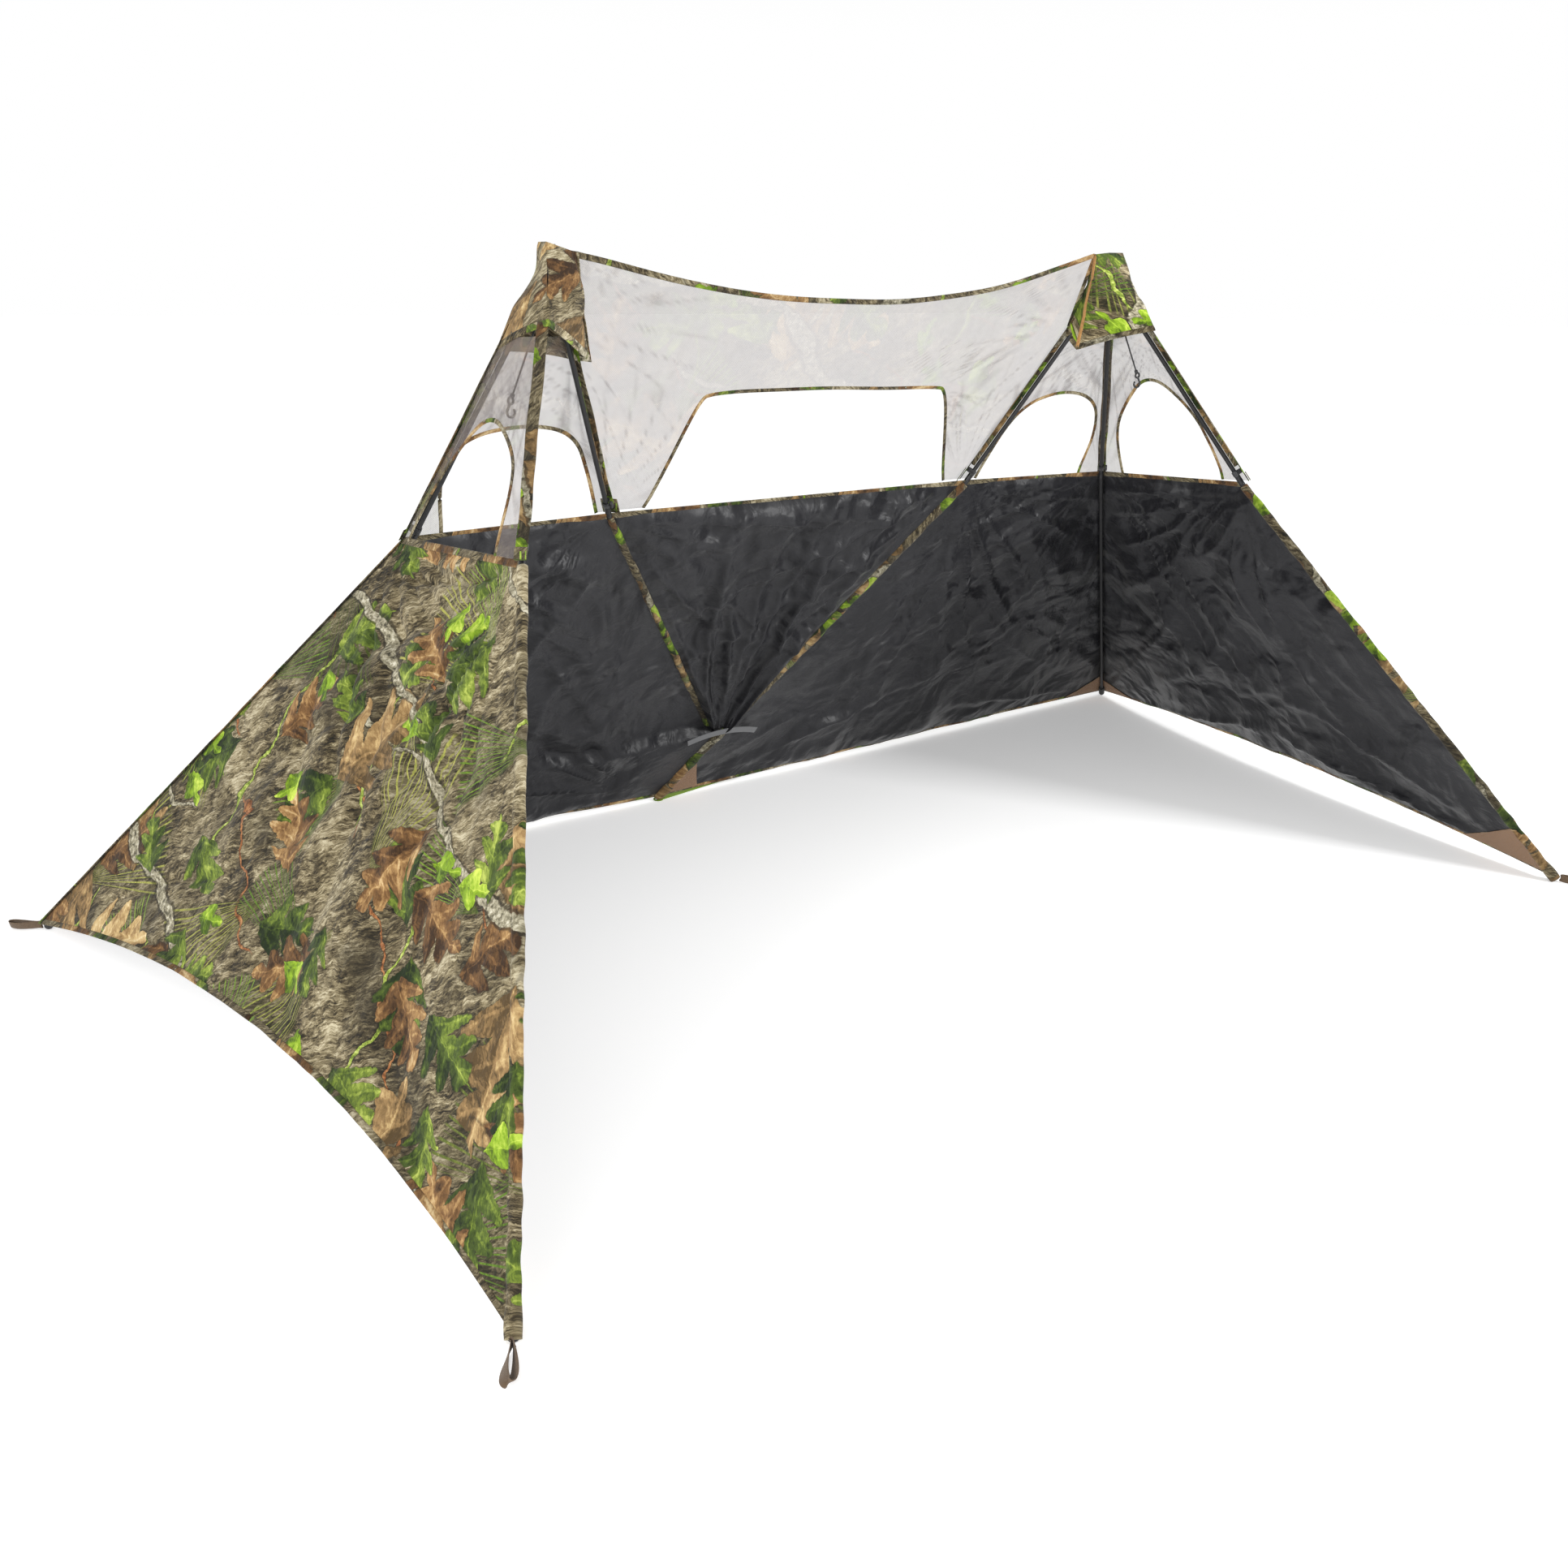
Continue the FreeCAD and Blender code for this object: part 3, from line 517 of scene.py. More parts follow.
FRESH_NEEDLE = [(0.22, (0.02, 0.05, 0.006)), (0.5, (0.13, 0.23, 0.022)), (0.8, (0.42, 0.56, 0.08))]
BIRCH = [(0.36, (0.03, 0.026, 0.016)), (0.47, (0.24, 0.215, 0.14)), (0.56, (0.45, 0.41, 0.29)),
         (0.68, (0.78, 0.74, 0.60))]
TWIG = [(0.35, (0.05, 0.018, 0.006)), (0.5, (0.30, 0.11, 0.035)), (0.65, (0.52, 0.27, 0.11))]
STEM = [(0.35, (0.05, 0.09, 0.01)), (0.5, (0.28, 0.36, 0.05)), (0.65, (0.60, 0.66, 0.20))]


def twig_over(graph, colour, place, per_metre, seed, turn, width, share, stops):
    """The colour with twigs of one kind over it, each with a dark edge."""
    twig = branches(graph, place, per_metre, seed + per_metre, turn, width, share)
    edge = branches(graph, place, per_metre, seed + per_metre, turn, width * 1.5, share)
    colour = graph.mix(graph.times(edge, 0.7), colour, (0.018, 0.014, 0.008, 1))
    return graph.mix(twig, colour, graph.ramp(graph.noise(place, 95.0, 5.0, 0.7), stops))


def woodland(graph, place, seed=0.0, dry=0.5, green=0.30):
    """The printed pattern: bark with twigs, pine sprays and leaves lying over each other."""
    still = graph.vector("MULTIPLY", graph.vector("ADD", place, (seed, seed, 0)), (1, 1, 0))
    wobble = graph.add("TexNoise", {"Vector": place, "Scale": 11.0, "Detail": 5.0,
                                    "Roughness": 0.62})["Color"]
    place = graph.vector("MULTIPLY_ADD", graph.vector("SUBTRACT", wobble, (0.5, 0.5, 0.5)),
                         (0.050, 0.050, 0), place)
    place = graph.vector("MULTIPLY", graph.vector("ADD", place, (seed, seed, 0)), (1, 1, 0))
    slanted = graph.turned(place, 0.95)
    streaks = graph.noise(graph.vector("MULTIPLY", slanted, (260, 50, 1)), 1.0, 6.0, 0.72)
    flakes = graph.noise(graph.vector("MULTIPLY", slanted, (52, 17, 1)), 1.0, 5.0, 0.66, 0.5)
    patches = graph.noise(place, 5.5, 4.0, 0.55)
    bark = graph.scaled(graph.minus(patches, 0.5), 0.55, streaks)
    bark = graph.scaled(graph.minus(flakes, 0.5), 0.75, bark)
    colour = graph.ramp(bark, BARK)
    grain = graph.noise(graph.vector("MULTIPLY", slanted, (70, 170, 1)), 1.0, 5.0, 0.65)
    blotch = graph.noise(place, 26.0, 4.0, 0.6)
    shade = graph.above(graph.noise(graph.vector("ADD", place, (3.7, 8.1, 0)), 4.2, 3.0), 0.50, 0.16)
    colour = graph.mix(graph.times(shade, 0.62), colour, (0.030, 0.024, 0.014, 1))

    sprays = ((3.0, 2.2, green * 1.2, NEEDLE), (4.2, 7.9, green * 0.6, FRESH_NEEDLE))
    for per_metre, shift, share, stops in sprays:
        spray, tint, fan = needles(graph, still, per_metre, seed + shift, share)
        colour = graph.mix(graph.times(fan, 0.35), colour, (0.022, 0.024, 0.009, 1))
        tone = graph.scaled(tint, 0.35, graph.times(grain, 0.75))
        colour = graph.mix(spray, colour, graph.ramp(tone, stops))
    twigs = ((3.3, -0.9, 0.011, 0.5, TWIG), (2.1, 1.9, 0.013, 0.5, BIRCH), (2.7, 0.12, 0.012, 0.55, STEM))
    for per_metre, turn, width, share, stops in twigs:
        colour = twig_over(graph, colour, place, per_metre, seed, turn, width, share, stops)

    def leaves_over(colour, per_metre, shift, share, lobes, slim, stops):
        """The colour with leaves of one kind over it, each with a dark edge."""
        leaf, veins, tint, halo = leaves(graph, place, per_metre, seed + shift, share, lobes, slim)
        tone = graph.scaled(tint, 0.22, graph.times(grain, 0.62))
        tone = graph.scaled(graph.minus(blotch, 0.36), 0.95, tone)
        lit = graph.scaled(veins, 0.13, graph.plus(tone, -0.05))
        colour = graph.mix(graph.times(halo, 0.75), colour, (0.014, 0.011, 0.006, 1))
        return graph.mix(leaf, colour, graph.ramp(lit, stops))

    for layer in ((3.3, 5.1, dry, 3.6, 0.40, TAN_LEAF), (5.2, 1.3, green * 0.9, 3.2, 0.42, GREEN_LEAF),
                  (4.6, 9.4, dry * 0.8, 3.9, 0.34, DRY_LEAF)):
        colour = leaves_over(colour, *layer)
    colour = twig_over(graph, colour, place, 1.35, seed, -1.13, 0.022, 0.74, BIRCH)
    for layer in ((6.3, 6.6, green * 0.7, 3.4, 0.38, GREEN_LEAF),
                  (9.5, 3.7, green * 0.38, 1.6, 0.34, YOUNG_LEAF)):
        colour = leaves_over(colour, *layer)
    return colour


def printed_cloth(name, seed=0.0, dry=0.5, green=0.30, tone=1.0):
    """Brushed polyester with the woodland print, drawn into soft folds."""
    graph = Graph(name)
    place = graph.cloth()
    drawn = graph.noise(graph.vector("MULTIPLY", place, (24, 5, 1)), 1.0, 3.0, 0.5, 0.4)
    rumple = graph.noise(place, 34.0, 4.0, 0.55)
    fine = graph.bump(rumple, 0.004, 0.5, graph.bump(weave(graph, place, 0.0011), 0.0002, 0.5))
    colour = woodland(graph, place, seed, dry, green)
    if tone != 1.0:
        colour = graph.mix(1.0, colour, (tone, tone, tone, 1), "MULTIPLY")
    return graph.finish(colour, graph.bump(drawn, 0.016, 0.6, fine), Roughness=0.84, Sheen_Weight=0.08,
                        Sheen_Roughness=0.5, Specular_IOR_Level=0.22)


def blackout_cloth():
    """The black coated inside of the walls, with a soft shine on its creases."""
    graph = Graph("blackout_cloth")
    place = graph.cloth()
    large = graph.noise(place, 4.8, 2.5, 0.5, 0.4)
    small = graph.noise(place, 19.0, 3.5, 0.5, 0.6)
    crumple = graph.bump(large, 0.13, 0.9, graph.bump(small, 0.011, 0.7))
    normal = graph.bump(weave(graph, place, 0.0009), 0.00015, 0.4, crumple)
    colour = graph.ramp(graph.noise(place, 3.0, 2.0), [(0.3, (0.0085, 0.0085, 0.0105)),
                                                       (0.7, (0.014, 0.014, 0.0165))])
    rough = graph.scaled(graph.noise(place, 26.0, 3.0), 0.14, 0.36)
    return graph.finish(colour, normal, Roughness=rough, Specular_IOR_Level=0.36,
                        Sheen_Weight=0.06, Sheen_Roughness=0.4)


def netting():
    """Pale see-through netting with a ghost of the print, and painted shade along the folds it is drawn into.
    """
    graph = Graph("netting")
    place = graph.cloth()
    ghost = woodland(graph, place, 4.0, 0.5, 0.45)
    pale = graph.mix(0.30, (0.25, 0.215, 0.205, 1), ghost)
    folds = graph.add("Attribute", {}, attribute_name="folds")["Fac"]
    # Painted shade: the colour is darkened by the fold depth and stands in for the shade in the creases.
    colour = graph.mix(graph.times(folds, 0.6), pale, (0.12, 0.105, 0.105, 1))
    mottle = graph.noise(place, 60.0, 3.0)
    cover = graph.scaled(mottle, 0.10, 0.36)
    # The cover also rises along the folds, where the netting bunches.
    cover = graph.scaled(folds, 0.28, cover)
    cover = graph.scaled(weave(graph, place, 0.0024), 0.1, cover, clamp=True)
    normal = graph.bump(graph.noise(place, 22.0, 3.0), 0.004, 0.4)
    return graph.finish(colour, normal, Alpha=cover, Roughness=0.75, Specular_IOR_Level=0.2)


def webbing(name, dark, light, rib=0.0016):
    """Ribbed woven tape with raised edges."""
    graph = Graph(name)
    place = graph.cloth()
    axes = graph.add("SeparateXYZ", {0: place})
    ribs = graph.sine(graph.times(graph.plus(axes[0], axes[1]), 2 * math.pi / rib))
    threads = weave(graph, place, rib / 3)
    height = graph.scaled(ribs, 0.35, threads)
    tone = graph.scaled(graph.noise(place, 160.0, 3.0), 0.5, graph.times(threads, 0.5))
    return graph.finish(graph.ramp(tone, [(0.25, dark), (0.75, light)]), graph.bump(height, 0.0005, 0.7),
                        Roughness=0.78, Sheen_Weight=0.2, Specular_IOR_Level=0.3)


def solid_finish(name, dark, light, roughness, grain, depth, metallic=0.0, coat=0.0):
    """Moulded plastic, rubber or metal: fine grain and slight changes of tone."""
    graph = Graph(name)
    place = graph.solid()
    tone = graph.noise(place, grain * 0.1, 3.0)
    rough = graph.scaled(graph.noise(place, grain * 0.4, 4.0), 0.2, roughness - 0.1)
    return graph.finish(graph.ramp(tone, [(0.35, dark), (0.65, light)]),
                        graph.bump(graph.noise(place, grain, 3.0), depth, 0.5),
                        Roughness=rough, Metallic=metallic, Coat_Weight=coat)


def drawn_pole(name):
    """Black pultruded pole: fine lines along it and scuffs."""
    graph = Graph(name)
    place = graph.solid()
    lines = graph.noise(graph.vector("MULTIPLY", place, (700, 700, 25)), 1.0, 2.0)
    scuffs = graph.above(graph.noise(place, 55.0, 5.0, 0.65), 0.62, 0.1)
    colour = graph.mix(graph.times(scuffs, 0.35), (0.014, 0.014, 0.015, 1), (0.085, 0.083, 0.08, 1))
    rough = graph.scaled(scuffs, 0.2, 0.46)
    return graph.finish(colour, graph.bump(lines, 0.0002, 0.5), Roughness=rough, Specular_IOR_Level=0.35)


def braided_cord():
    """Two sets of strands that wind round the cord in opposite ways."""
    graph = Graph("braided_cord")
    axes = graph.add("SeparateXYZ", {0: graph.solid()})
    slope = graph.times(axes[2], 2 * math.pi / 0.004)
    round_it = graph.times(graph.plus(axes[0], axes[1]), 2 * math.pi / 0.003)
    one = graph.sine(graph.plus(slope, round_it))
    other = graph.sine(graph.minus(slope, round_it))
    height = graph.times(one, other)
    colour = graph.ramp(graph.scaled(height, 0.5, 0.5), [(0.2, (0.008, 0.008, 0.009)),
                                                                     (0.8, (0.035, 0.035, 0.037))])
    return graph.finish(colour, graph.bump(height, 0.0006, 0.8), Roughness=0.7, Sheen_Weight=0.2)


PRINT = printed_cloth("printed_cloth", tone=0.84)
CAP_PRINTS = {"left": printed_cloth("cap_print_left", 3.1, 0.6, 0.12, 0.76),
              "right": printed_cloth("cap_print_right", 5.9, 0.15, 0.7)}
PATCH_PRINT = printed_cloth("patch_print", 4.4, 0.3, 0.7)
CAP_BINDING = webbing("cap_binding", (0.24, 0.11, 0.03), (0.62, 0.33, 0.11), 0.0022)
LINING = printed_cloth("cap_lining", 5.2, 0.3, 0.2)
BINDING = printed_cloth("binding_print", 6.4, 0.6, 0.28, 0.62)
SLEEVE_PRINT = printed_cloth("sleeve_print", 8.7, 0.35, 0.34, 0.55)
BLACK = blackout_cloth()
NETTING = netting()
CANVAS = webbing("tan_canvas", (0.16, 0.085, 0.038), (0.30, 0.165, 0.08), 0.0011)
BROWN_WEBBING = webbing("brown_webbing", (0.065, 0.04, 0.022), (0.17, 0.11, 0.062))
GREY_WEBBING = webbing("grey_webbing", (0.075, 0.077, 0.08), (0.18, 0.182, 0.186))
BLACK_WEBBING = webbing("black_webbing", (0.008, 0.008, 0.009), (0.04, 0.04, 0.042))
MOULDED = solid_finish("moulded_black", (0.012, 0.012, 0.013), (0.03, 0.03, 0.031), 0.5, 1500.0, 0.0003)
RUBBER = solid_finish("boot_rubber", (0.012, 0.012, 0.012), (0.032, 0.031, 0.03), 0.75, 900.0, 0.0005)
GLOSS = solid_finish("hook_plastic", (0.008, 0.008, 0.009), (0.018, 0.018, 0.019), 0.25, 900.0, 0.0001,
                     coat=0.2)
STEEL = solid_finish("pin_steel", (0.10, 0.10, 0.105), (0.20, 0.20, 0.205), 0.38, 2200.0, 0.0002,
                     metallic=1.0)
FERRULE = solid_finish("ferrule_black", (0.015, 0.015, 0.016), (0.04, 0.04, 0.041), 0.38, 1200.0, 0.0002,
                       metallic=0.6)
POLE = drawn_pole("pole_black")
CORD = braided_cord()


# ---------------------------------------------------------------- hanging cloth on the legs
def gathers(piece, leg):
    """The piece moves with its leg, with a mesh of its own."""
    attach(piece, leg.body)
    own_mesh(piece)
    return piece


def fixed(piece, body):
    """The piece is fixed to that body."""
    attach(piece, body)


def halves(legs, middle, columns, replaced):
    """For each half of a bay: its leg, the other leg, its columns and the CAD node that it replaces."""
    left, right = legs
    return ((left, right, slice(0, middle + 1), replaced[0]),
            (right, left, slice(middle, columns), replaced[1]))


def fan(place, corner, seed, reach=0.36, spread=0.42):
    """Folds that fan out from a corner where the cloth is pulled: each widens, then fades."""
    away = place - np.array(corner)
    far = np.hypot(away[..., 0], away[..., 1])
    heading = np.arctan2(away[..., 1], away[..., 0])
    folds = creases(heading, far * 0.35, spread, seed)
    return folds * np.exp(-far / reach) * far / reach * math.e


def eased(value, width):
    """0 at 0, rising to 1 at that width."""
    return np.clip(value / width, 0, 1) ** 0.8


# ---------------------------------------------------------------- walls
class Wall:
    """One bay of wall, from its hem down to the ground, between two edges."""

    def __init__(self, name, left, right, left_edge, right_edge, rise, seed):
        self.name, self.legs, self.rise, self.seed = name, (left, right), rise, seed
        self.edges = np.array(left_edge), np.array(right_edge)
        self.across = unit(right_edge[0] - left_edge[0])
        fall = left_edge[-1] + right_edge[-1] - left_edge[0] - right_edge[0]
        self.down = unit(fall - self.across * (fall @ self.across))
        self.origin = (left_edge[0] + right_edge[0]) / 2
        self.facing = inward(self.across, self.down, self.origin)
        self.corners = [self.flat(edge[end]) for edge in self.edges for end in (0, -1)]
        self.cut = np.array([0.0173, 0.0091]) * (seed - 100)

    def flat(self, points):
        """Where points are on the cloth: along the hem and up from it."""
        away = points - self.origin
        return np.stack([away @ self.across, -(away @ self.down)], -1)

    def print_at(self, points):
        """The same, where this bay was cut from the printed cloth."""
        return self.flat(points) + self.cut

    def place(self, across, fall):
        """Points of the cloth, by their shares of the way across the bay and of the way down."""
        across, fall = np.broadcast_arrays(across, fall)
        points = lerp(along(self.edges[0], fall), along(self.edges[1], fall), across[..., None])
        arch = self.rise * 4 * across * (1 - across) * fall ** 1.6
        points = points - self.down * arch[..., None]
        spot = self.flat(points)
        u, v = spot[..., 0], spot[..., 1]
        depth = -0.012 * np.sin(np.pi * across) * np.sin(np.pi * fall)
        depth = depth + 0.006 * waves(u, v, 0.42, self.seed)
        depth = (depth + 0.006 * creases(u, v, 0.30, self.seed + 1)
                 + 0.0022 * creases(u, v, 0.12, self.seed + 2))
        for number, corner in enumerate(self.corners):
            pull = 0.017 if number % 2 == 0 else 0.020
            depth = depth + pull * fan(spot, corner, self.seed + 10 + number)
        width = np.linalg.norm(self.edges[1][0] - self.edges[0][0])
        held = eased(np.minimum(across, 1 - across) * width, 0.13) ** 2 * eased(fall, 0.03)
        held = held * (0.35 + 0.65 * eased(1 - fall, 0.05))
        return points + self.facing * (depth * held)[..., None]

    def build(self, replaced):
        """The bay's two halves, each with its bindings, in place of those CAD nodes."""
        width = np.linalg.norm(self.edges[1][0] - self.edges[0][0])
        columns = 2 * math.ceil(max(width, 0.8) / GRID_STEP / 2) + 1
        rows = math.ceil(WALL_REACH / GRID_STEP)
        across = np.linspace(0, 1, columns)[None, :]
        fall = np.linspace(0, 1, rows)[:, None]
        points = self.place(across, fall)
        coords = self.print_at(points)
        normals = sheet_normals(points, self.facing)
        for leg, other, part, node in halves(self.legs, columns // 2, columns, replaced):
            name = f"{self.name}_wall_by_{leg.name}"
            cloth = double_sheet(name, points[:, part], normals[:, part], coords[:, part], BLACK, PRINT,
                                 self.facing)
            gathers(cloth, leg)
            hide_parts(node)
            hem = ribbon(name + "_hem", points[0, part], self.facing, HEM_WIDTH, BINDING, 0.0042)
            foot = ribbon(name + "_foot_binding", points[-1, part], normals[-1, part], 0.013, BINDING, 0.0034)
            binding = joined(name + "_bindings", [hem, foot])
            gathers(binding, leg)

    def corner_patch(self, right_side, wide, tall):
        """The canvas facing sewn into a bottom corner, in two layers."""
        leg = self.legs[1] if right_side else self.legs[0]
        down = np.linspace(0, 1, 14)[:, None]
        over = np.linspace(0, 1, 12)[None, :]
        share = wide * down * over
        points = self.place(1 - share if right_side else share, 1 - tall + tall * down * 0.985)
        normals = np.broadcast_to(self.facing, points.shape)
        raised = points + self.facing * 0.0022
        name = f"{self.name}_corner_patch_by_{leg.name}"
        patch = double_sheet(name, raised, normals, self.print_at(raised), CANVAS, PRINT, self.facing)
        gathers(patch, leg)
        return patch


# ---------------------------------------------------------------- netting
class Net:
    """One bay of netting above the hem, with a window cut in it."""

    def __init__(self, name, left, right, window, top, seed, ridge=None):
        self.name, self.legs, self.seed = name, (left, right), seed
        self.base = left.seam_knee(), right.seam_knee()
        self.across = unit(self.base[1] - self.base[0])
        rising = -(left.upper + right.upper)
        self.rising = unit(rising - self.across * (rising @ self.across))
        self.middle = (self.base[0] + self.base[1]) / 2
        self.facing = inward(self.across, self.rising, self.middle)
        self.window = smooth(window)
        upper_left = self.flat(left.on_upper(top, SEAM_OFFSET))
        upper_right = self.flat(right.on_upper(top, SEAM_OFFSET))
        self.sides = self.flat(self.base[0]), upper_left, upper_right, self.flat(self.base[1])
        self.ridge = np.array([upper_left, upper_right])
        if ridge is not None:
            self.ridge = np.vstack([upper_left[None], smooth(ridge, 4), upper_right[None]])

    def flat(self, points):
        """Where points are on the cloth: along the hem and up from it."""
        away = points - self.middle
        return np.stack([away @ self.across, away @ self.rising], -1)

    def on_plane(self, flat):
        """The points of the ruled surface between the two seams, from places on the cloth."""
        ends = []
        for leg, base in zip(self.legs, self.base):
            ends.append(base + leg.upper * (flat[..., 1:2] / (leg.upper @ self.rising)))
        start, end = self.flat(ends[0])[..., 0], self.flat(ends[1])[..., 0]
        share = (flat[..., 0] - start) / (end - start)
        return lerp(ends[0], ends[1], share[..., None])

    def folds(self, flat):
        """How deeply the netting is folded, 0 to 1: it is drawn to the knees, the peaks and the window."""
        low = self.window[np.argmax(self.window @ (1.0, 1.6))]
        total = np.zeros(flat.shape[:-1])
        for number, (corner, reach) in enumerate([(side, 0.20) for side in self.sides] + [(low, 0.10)]):
            away = np.linalg.norm(flat - corner, axis=-1)
            thin = fan(flat, corner, self.seed + number, reach, 0.34) ** 4
            total = total + 0.9 * thin * np.exp(-(away / (2.0 * reach)) ** 2)
        return np.clip(total, 0, 1)

    def place(self, flat):
        """Points of the netting, from places on the cloth."""
        points = self.on_plane(flat)
        u, v = flat[..., 0], flat[..., 1]
        depth = 0.003 * waves(u, v, 0.45, self.seed + 20)
        start, end = self.flat(self.base[0])[0], self.flat(self.base[1])[0]
        held = eased(np.minimum(u - start, end - u) + v * 0.3, 0.05) * eased(v, 0.03)
        return points + self.facing * (depth * held)[..., None]

    def outline(self, line, keys, counts):
        """Points of a line between key shares of its length, a fixed count in each stretch."""
        shares = [np.linspace(a, b, n, endpoint=False) for a, b, n in zip(keys[:-1], keys[1:], counts)]
        return along(line, np.concatenate(shares + [[1.0]]))

    def keyed(self, line, spots):
        """The shares of a line's length at which it passes nearest to those spots."""
        travelled = travel(line, whole=True)
        nearest = [travelled[np.argmin(np.linalg.norm(line - spot, axis=1))] for spot in spots]
        return [0.0] + nearest + [1.0]

    def build(self, replaced, ridge_tape=False):
        """The bay's two halves, each with its bindings, in place of those CAD nodes."""
        window = self.window
        scale = 1 / np.ptp(window, axis=0)
        shoulders = [window[np.argmax(window * scale @ (side, 1.0))] for side in (-1.0, 1.0)]
        outer = np.vstack([self.sides[0][None], self.ridge, self.sides[3][None]])
        tops = [outer[1], outer[-2]]
        ends = [outer[0]] + tops + [outer[-1]]
        steps = [np.linalg.norm(after - before) for before, after in zip(ends, ends[1:])]
        counts = [math.ceil(max(steps[0], 0.3) / NET_STEP),
                  2 * math.ceil(max(steps[1], 0.25) / (2 * NET_STEP)),
                  math.ceil(max(steps[2], 0.3) / NET_STEP)]
        inner_line = self.outline(window, self.keyed(window, shoulders), counts)
        outer_line = self.outline(outer, self.keyed(outer, tops), counts)
        flat = lerp(inner_line[None], outer_line[None], np.linspace(0, 1, NET_ROWS)[:, None, None])
        points = self.place(flat)
        normals = sheet_normals(points, self.facing)
        folds = self.folds(flat)
        middle = counts[0] + counts[1] // 2
        for leg, other, part, node in halves(self.legs, middle, flat.shape[1], replaced):
            name = f"{self.name}_netting_by_{leg.name}"
            net = single_sheet(name, points[:, part], normals[:, part], flat[:, part], NETTING,
                               folds[:, part])
            gathers(net, leg)
            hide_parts(node)
            tapes = [ribbon(name + "_window_binding", points[0, part], normals[0, part], WINDOW_BINDING,
                            BINDING, 0.0028, 0.4)]
            if ridge_tape:
                start, end = max(part.start, counts[0]), min(part.stop, counts[0] + counts[1] + 1)
                tapes.append(ribbon(name + "_ridge_tape", points[-1, start:end], normals[-1, start:end],
                                    0.013, BINDING, 0.0032, 1.1))
            binding = joined(name + "_bindings", tapes) if len(tapes) > 1 else tapes[0]
            gathers(binding, leg)


def single_sheet(name, points, normals, coords, material, folds):
    """An open sheet from a grid, one face thick, that carries how deeply it is folded."""
    points, normals, coords, folds = wound(points, normals, coords, folds)
    faces = grid_faces(*points.shape[:2])
    made = make_mesh(name, points.reshape(-1, 3), faces, [material], coords.reshape(-1, 2),
                     normals.reshape(-1, 3))
    # The netting's material darkens its colour by this as painted shade, and raises its cover by it.
    shade = made.data.attributes.new("folds", "FLOAT", "POINT")
    shade.data.foreach_set("value", folds.ravel().astype(np.float32))
    return made


# ---------------------------------------------------------------- sleeves and tapes on the legs
def leg_facing(leg, line):
    """Square to that line of the leg, outwards."""
    return unit(leg.outward - line * (leg.outward @ line))


def sleeve(leg, facing, wall=None):
    """The flattened sleeve round a lower pole, with the puckers of its seam. It is cut from the wall's own
    cloth where a wall is given."""
    reach = np.linalg.norm(leg.foot - leg.knee)
    start, stop = 0.004, reach + BOOT_OVERLAP
    travelled = np.linspace(start, stop, 150)
    over_boot = eased(travelled - (reach - BOOT_LENGTH - 0.02), 0.02)
    facing = unit(facing - leg.lower * (facing @ leg.lower))
    across = np.cross(leg.lower, facing)
    turn = np.linspace(0, 2 * math.pi, 18, endpoint=False)
    pucker = 1 + 0.10 * waves(travelled[:, None], turn[None, :] * 0.01, 0.07, 31) * np.ones((1, 18))
    taper = 0.8 + 0.2 * eased(travelled - start, 0.06)
    half = SLEEVE_HALF.get(leg.name, SLEEVE_HALF_AT_EDGES)
    wide = half * np.cos(turn)[None, :] * pucker * taper[:, None]
    deep = np.sin(turn)[None, :] * pucker * lerp(SLEEVE_RADIUS, SLEEVE_OVER_BOOT, over_boot)[:, None]
    middle = leg.knee + travelled[:, None] * leg.lower
    rings = middle[:, None] + across * wide[..., None] + facing * deep[..., None]
    coords = np.stack([travelled[:, None] + 0 * wide, turn[None, :] * SLEEVE_RADIUS + 0 * wide], -1)
    if wall is not None:
        coords = wall.print_at(rings)
    tube = tube_mesh(f"sleeve_{leg.name}", rings, coords, SLEEVE_PRINT if wall is None else PRINT)
    fixed(tube, leg.body)


def straight_tape(name, start, stop, facing, width, thickness=0.0022, sway=0.002, material=None, begin=0.0):
    """A tape pulled straight, with the slight waves that stitching leaves in it."""
    share = np.linspace(0, 1, max(8, math.ceil(np.linalg.norm(stop - start) / 0.012)))
    points = lerp(start, stop, share[:, None])
    length = np.linalg.norm(stop - start)
    side = unit(np.cross(stop - start, facing))
    drift = sway * waves(share * length, 0 * share, 0.14, 17) * np.sin(np.pi * share)
    points = points + side * drift[:, None]
    return ribbon(name, points, facing, width, material or SLEEVE_PRINT, thickness, begin)


def seams(leg):
    """The tape outside the upper pole and the flap from it to the pole, and down a rear corner the tape
    where its walls meet."""
    tapes = [straight_tape(f"upper_seam_{leg.name}", leg.on_upper(0.068, SEAM_OFFSET), leg.seam_knee(),
                           leg.outward, TAPE_WIDTH)]
    middle = (SEAM_OFFSET + POLE_RADIUS) / 2 + 0.0004
    tapes.append(straight_tape(f"upper_flap_{leg.name}", leg.on_upper(0.09, middle),
                               leg.on_upper(UPPER_REACH - 0.05, middle), np.cross(leg.upper, leg.outward),
                               SEAM_OFFSET - POLE_RADIUS - 0.0012, sway=0.0, begin=0.35))
    if "rear" in leg.name:
        top, toe = leg.wall_line()
        tapes.append(straight_tape(f"lower_seam_{leg.name}", top, toe, leg_facing(leg, leg.lower), 0.024,
                                   0.0040, 0.003, SLEEVE_PRINT, 0.7))
    fixed(joined(f"seams_{leg.name}", tapes), leg.body)


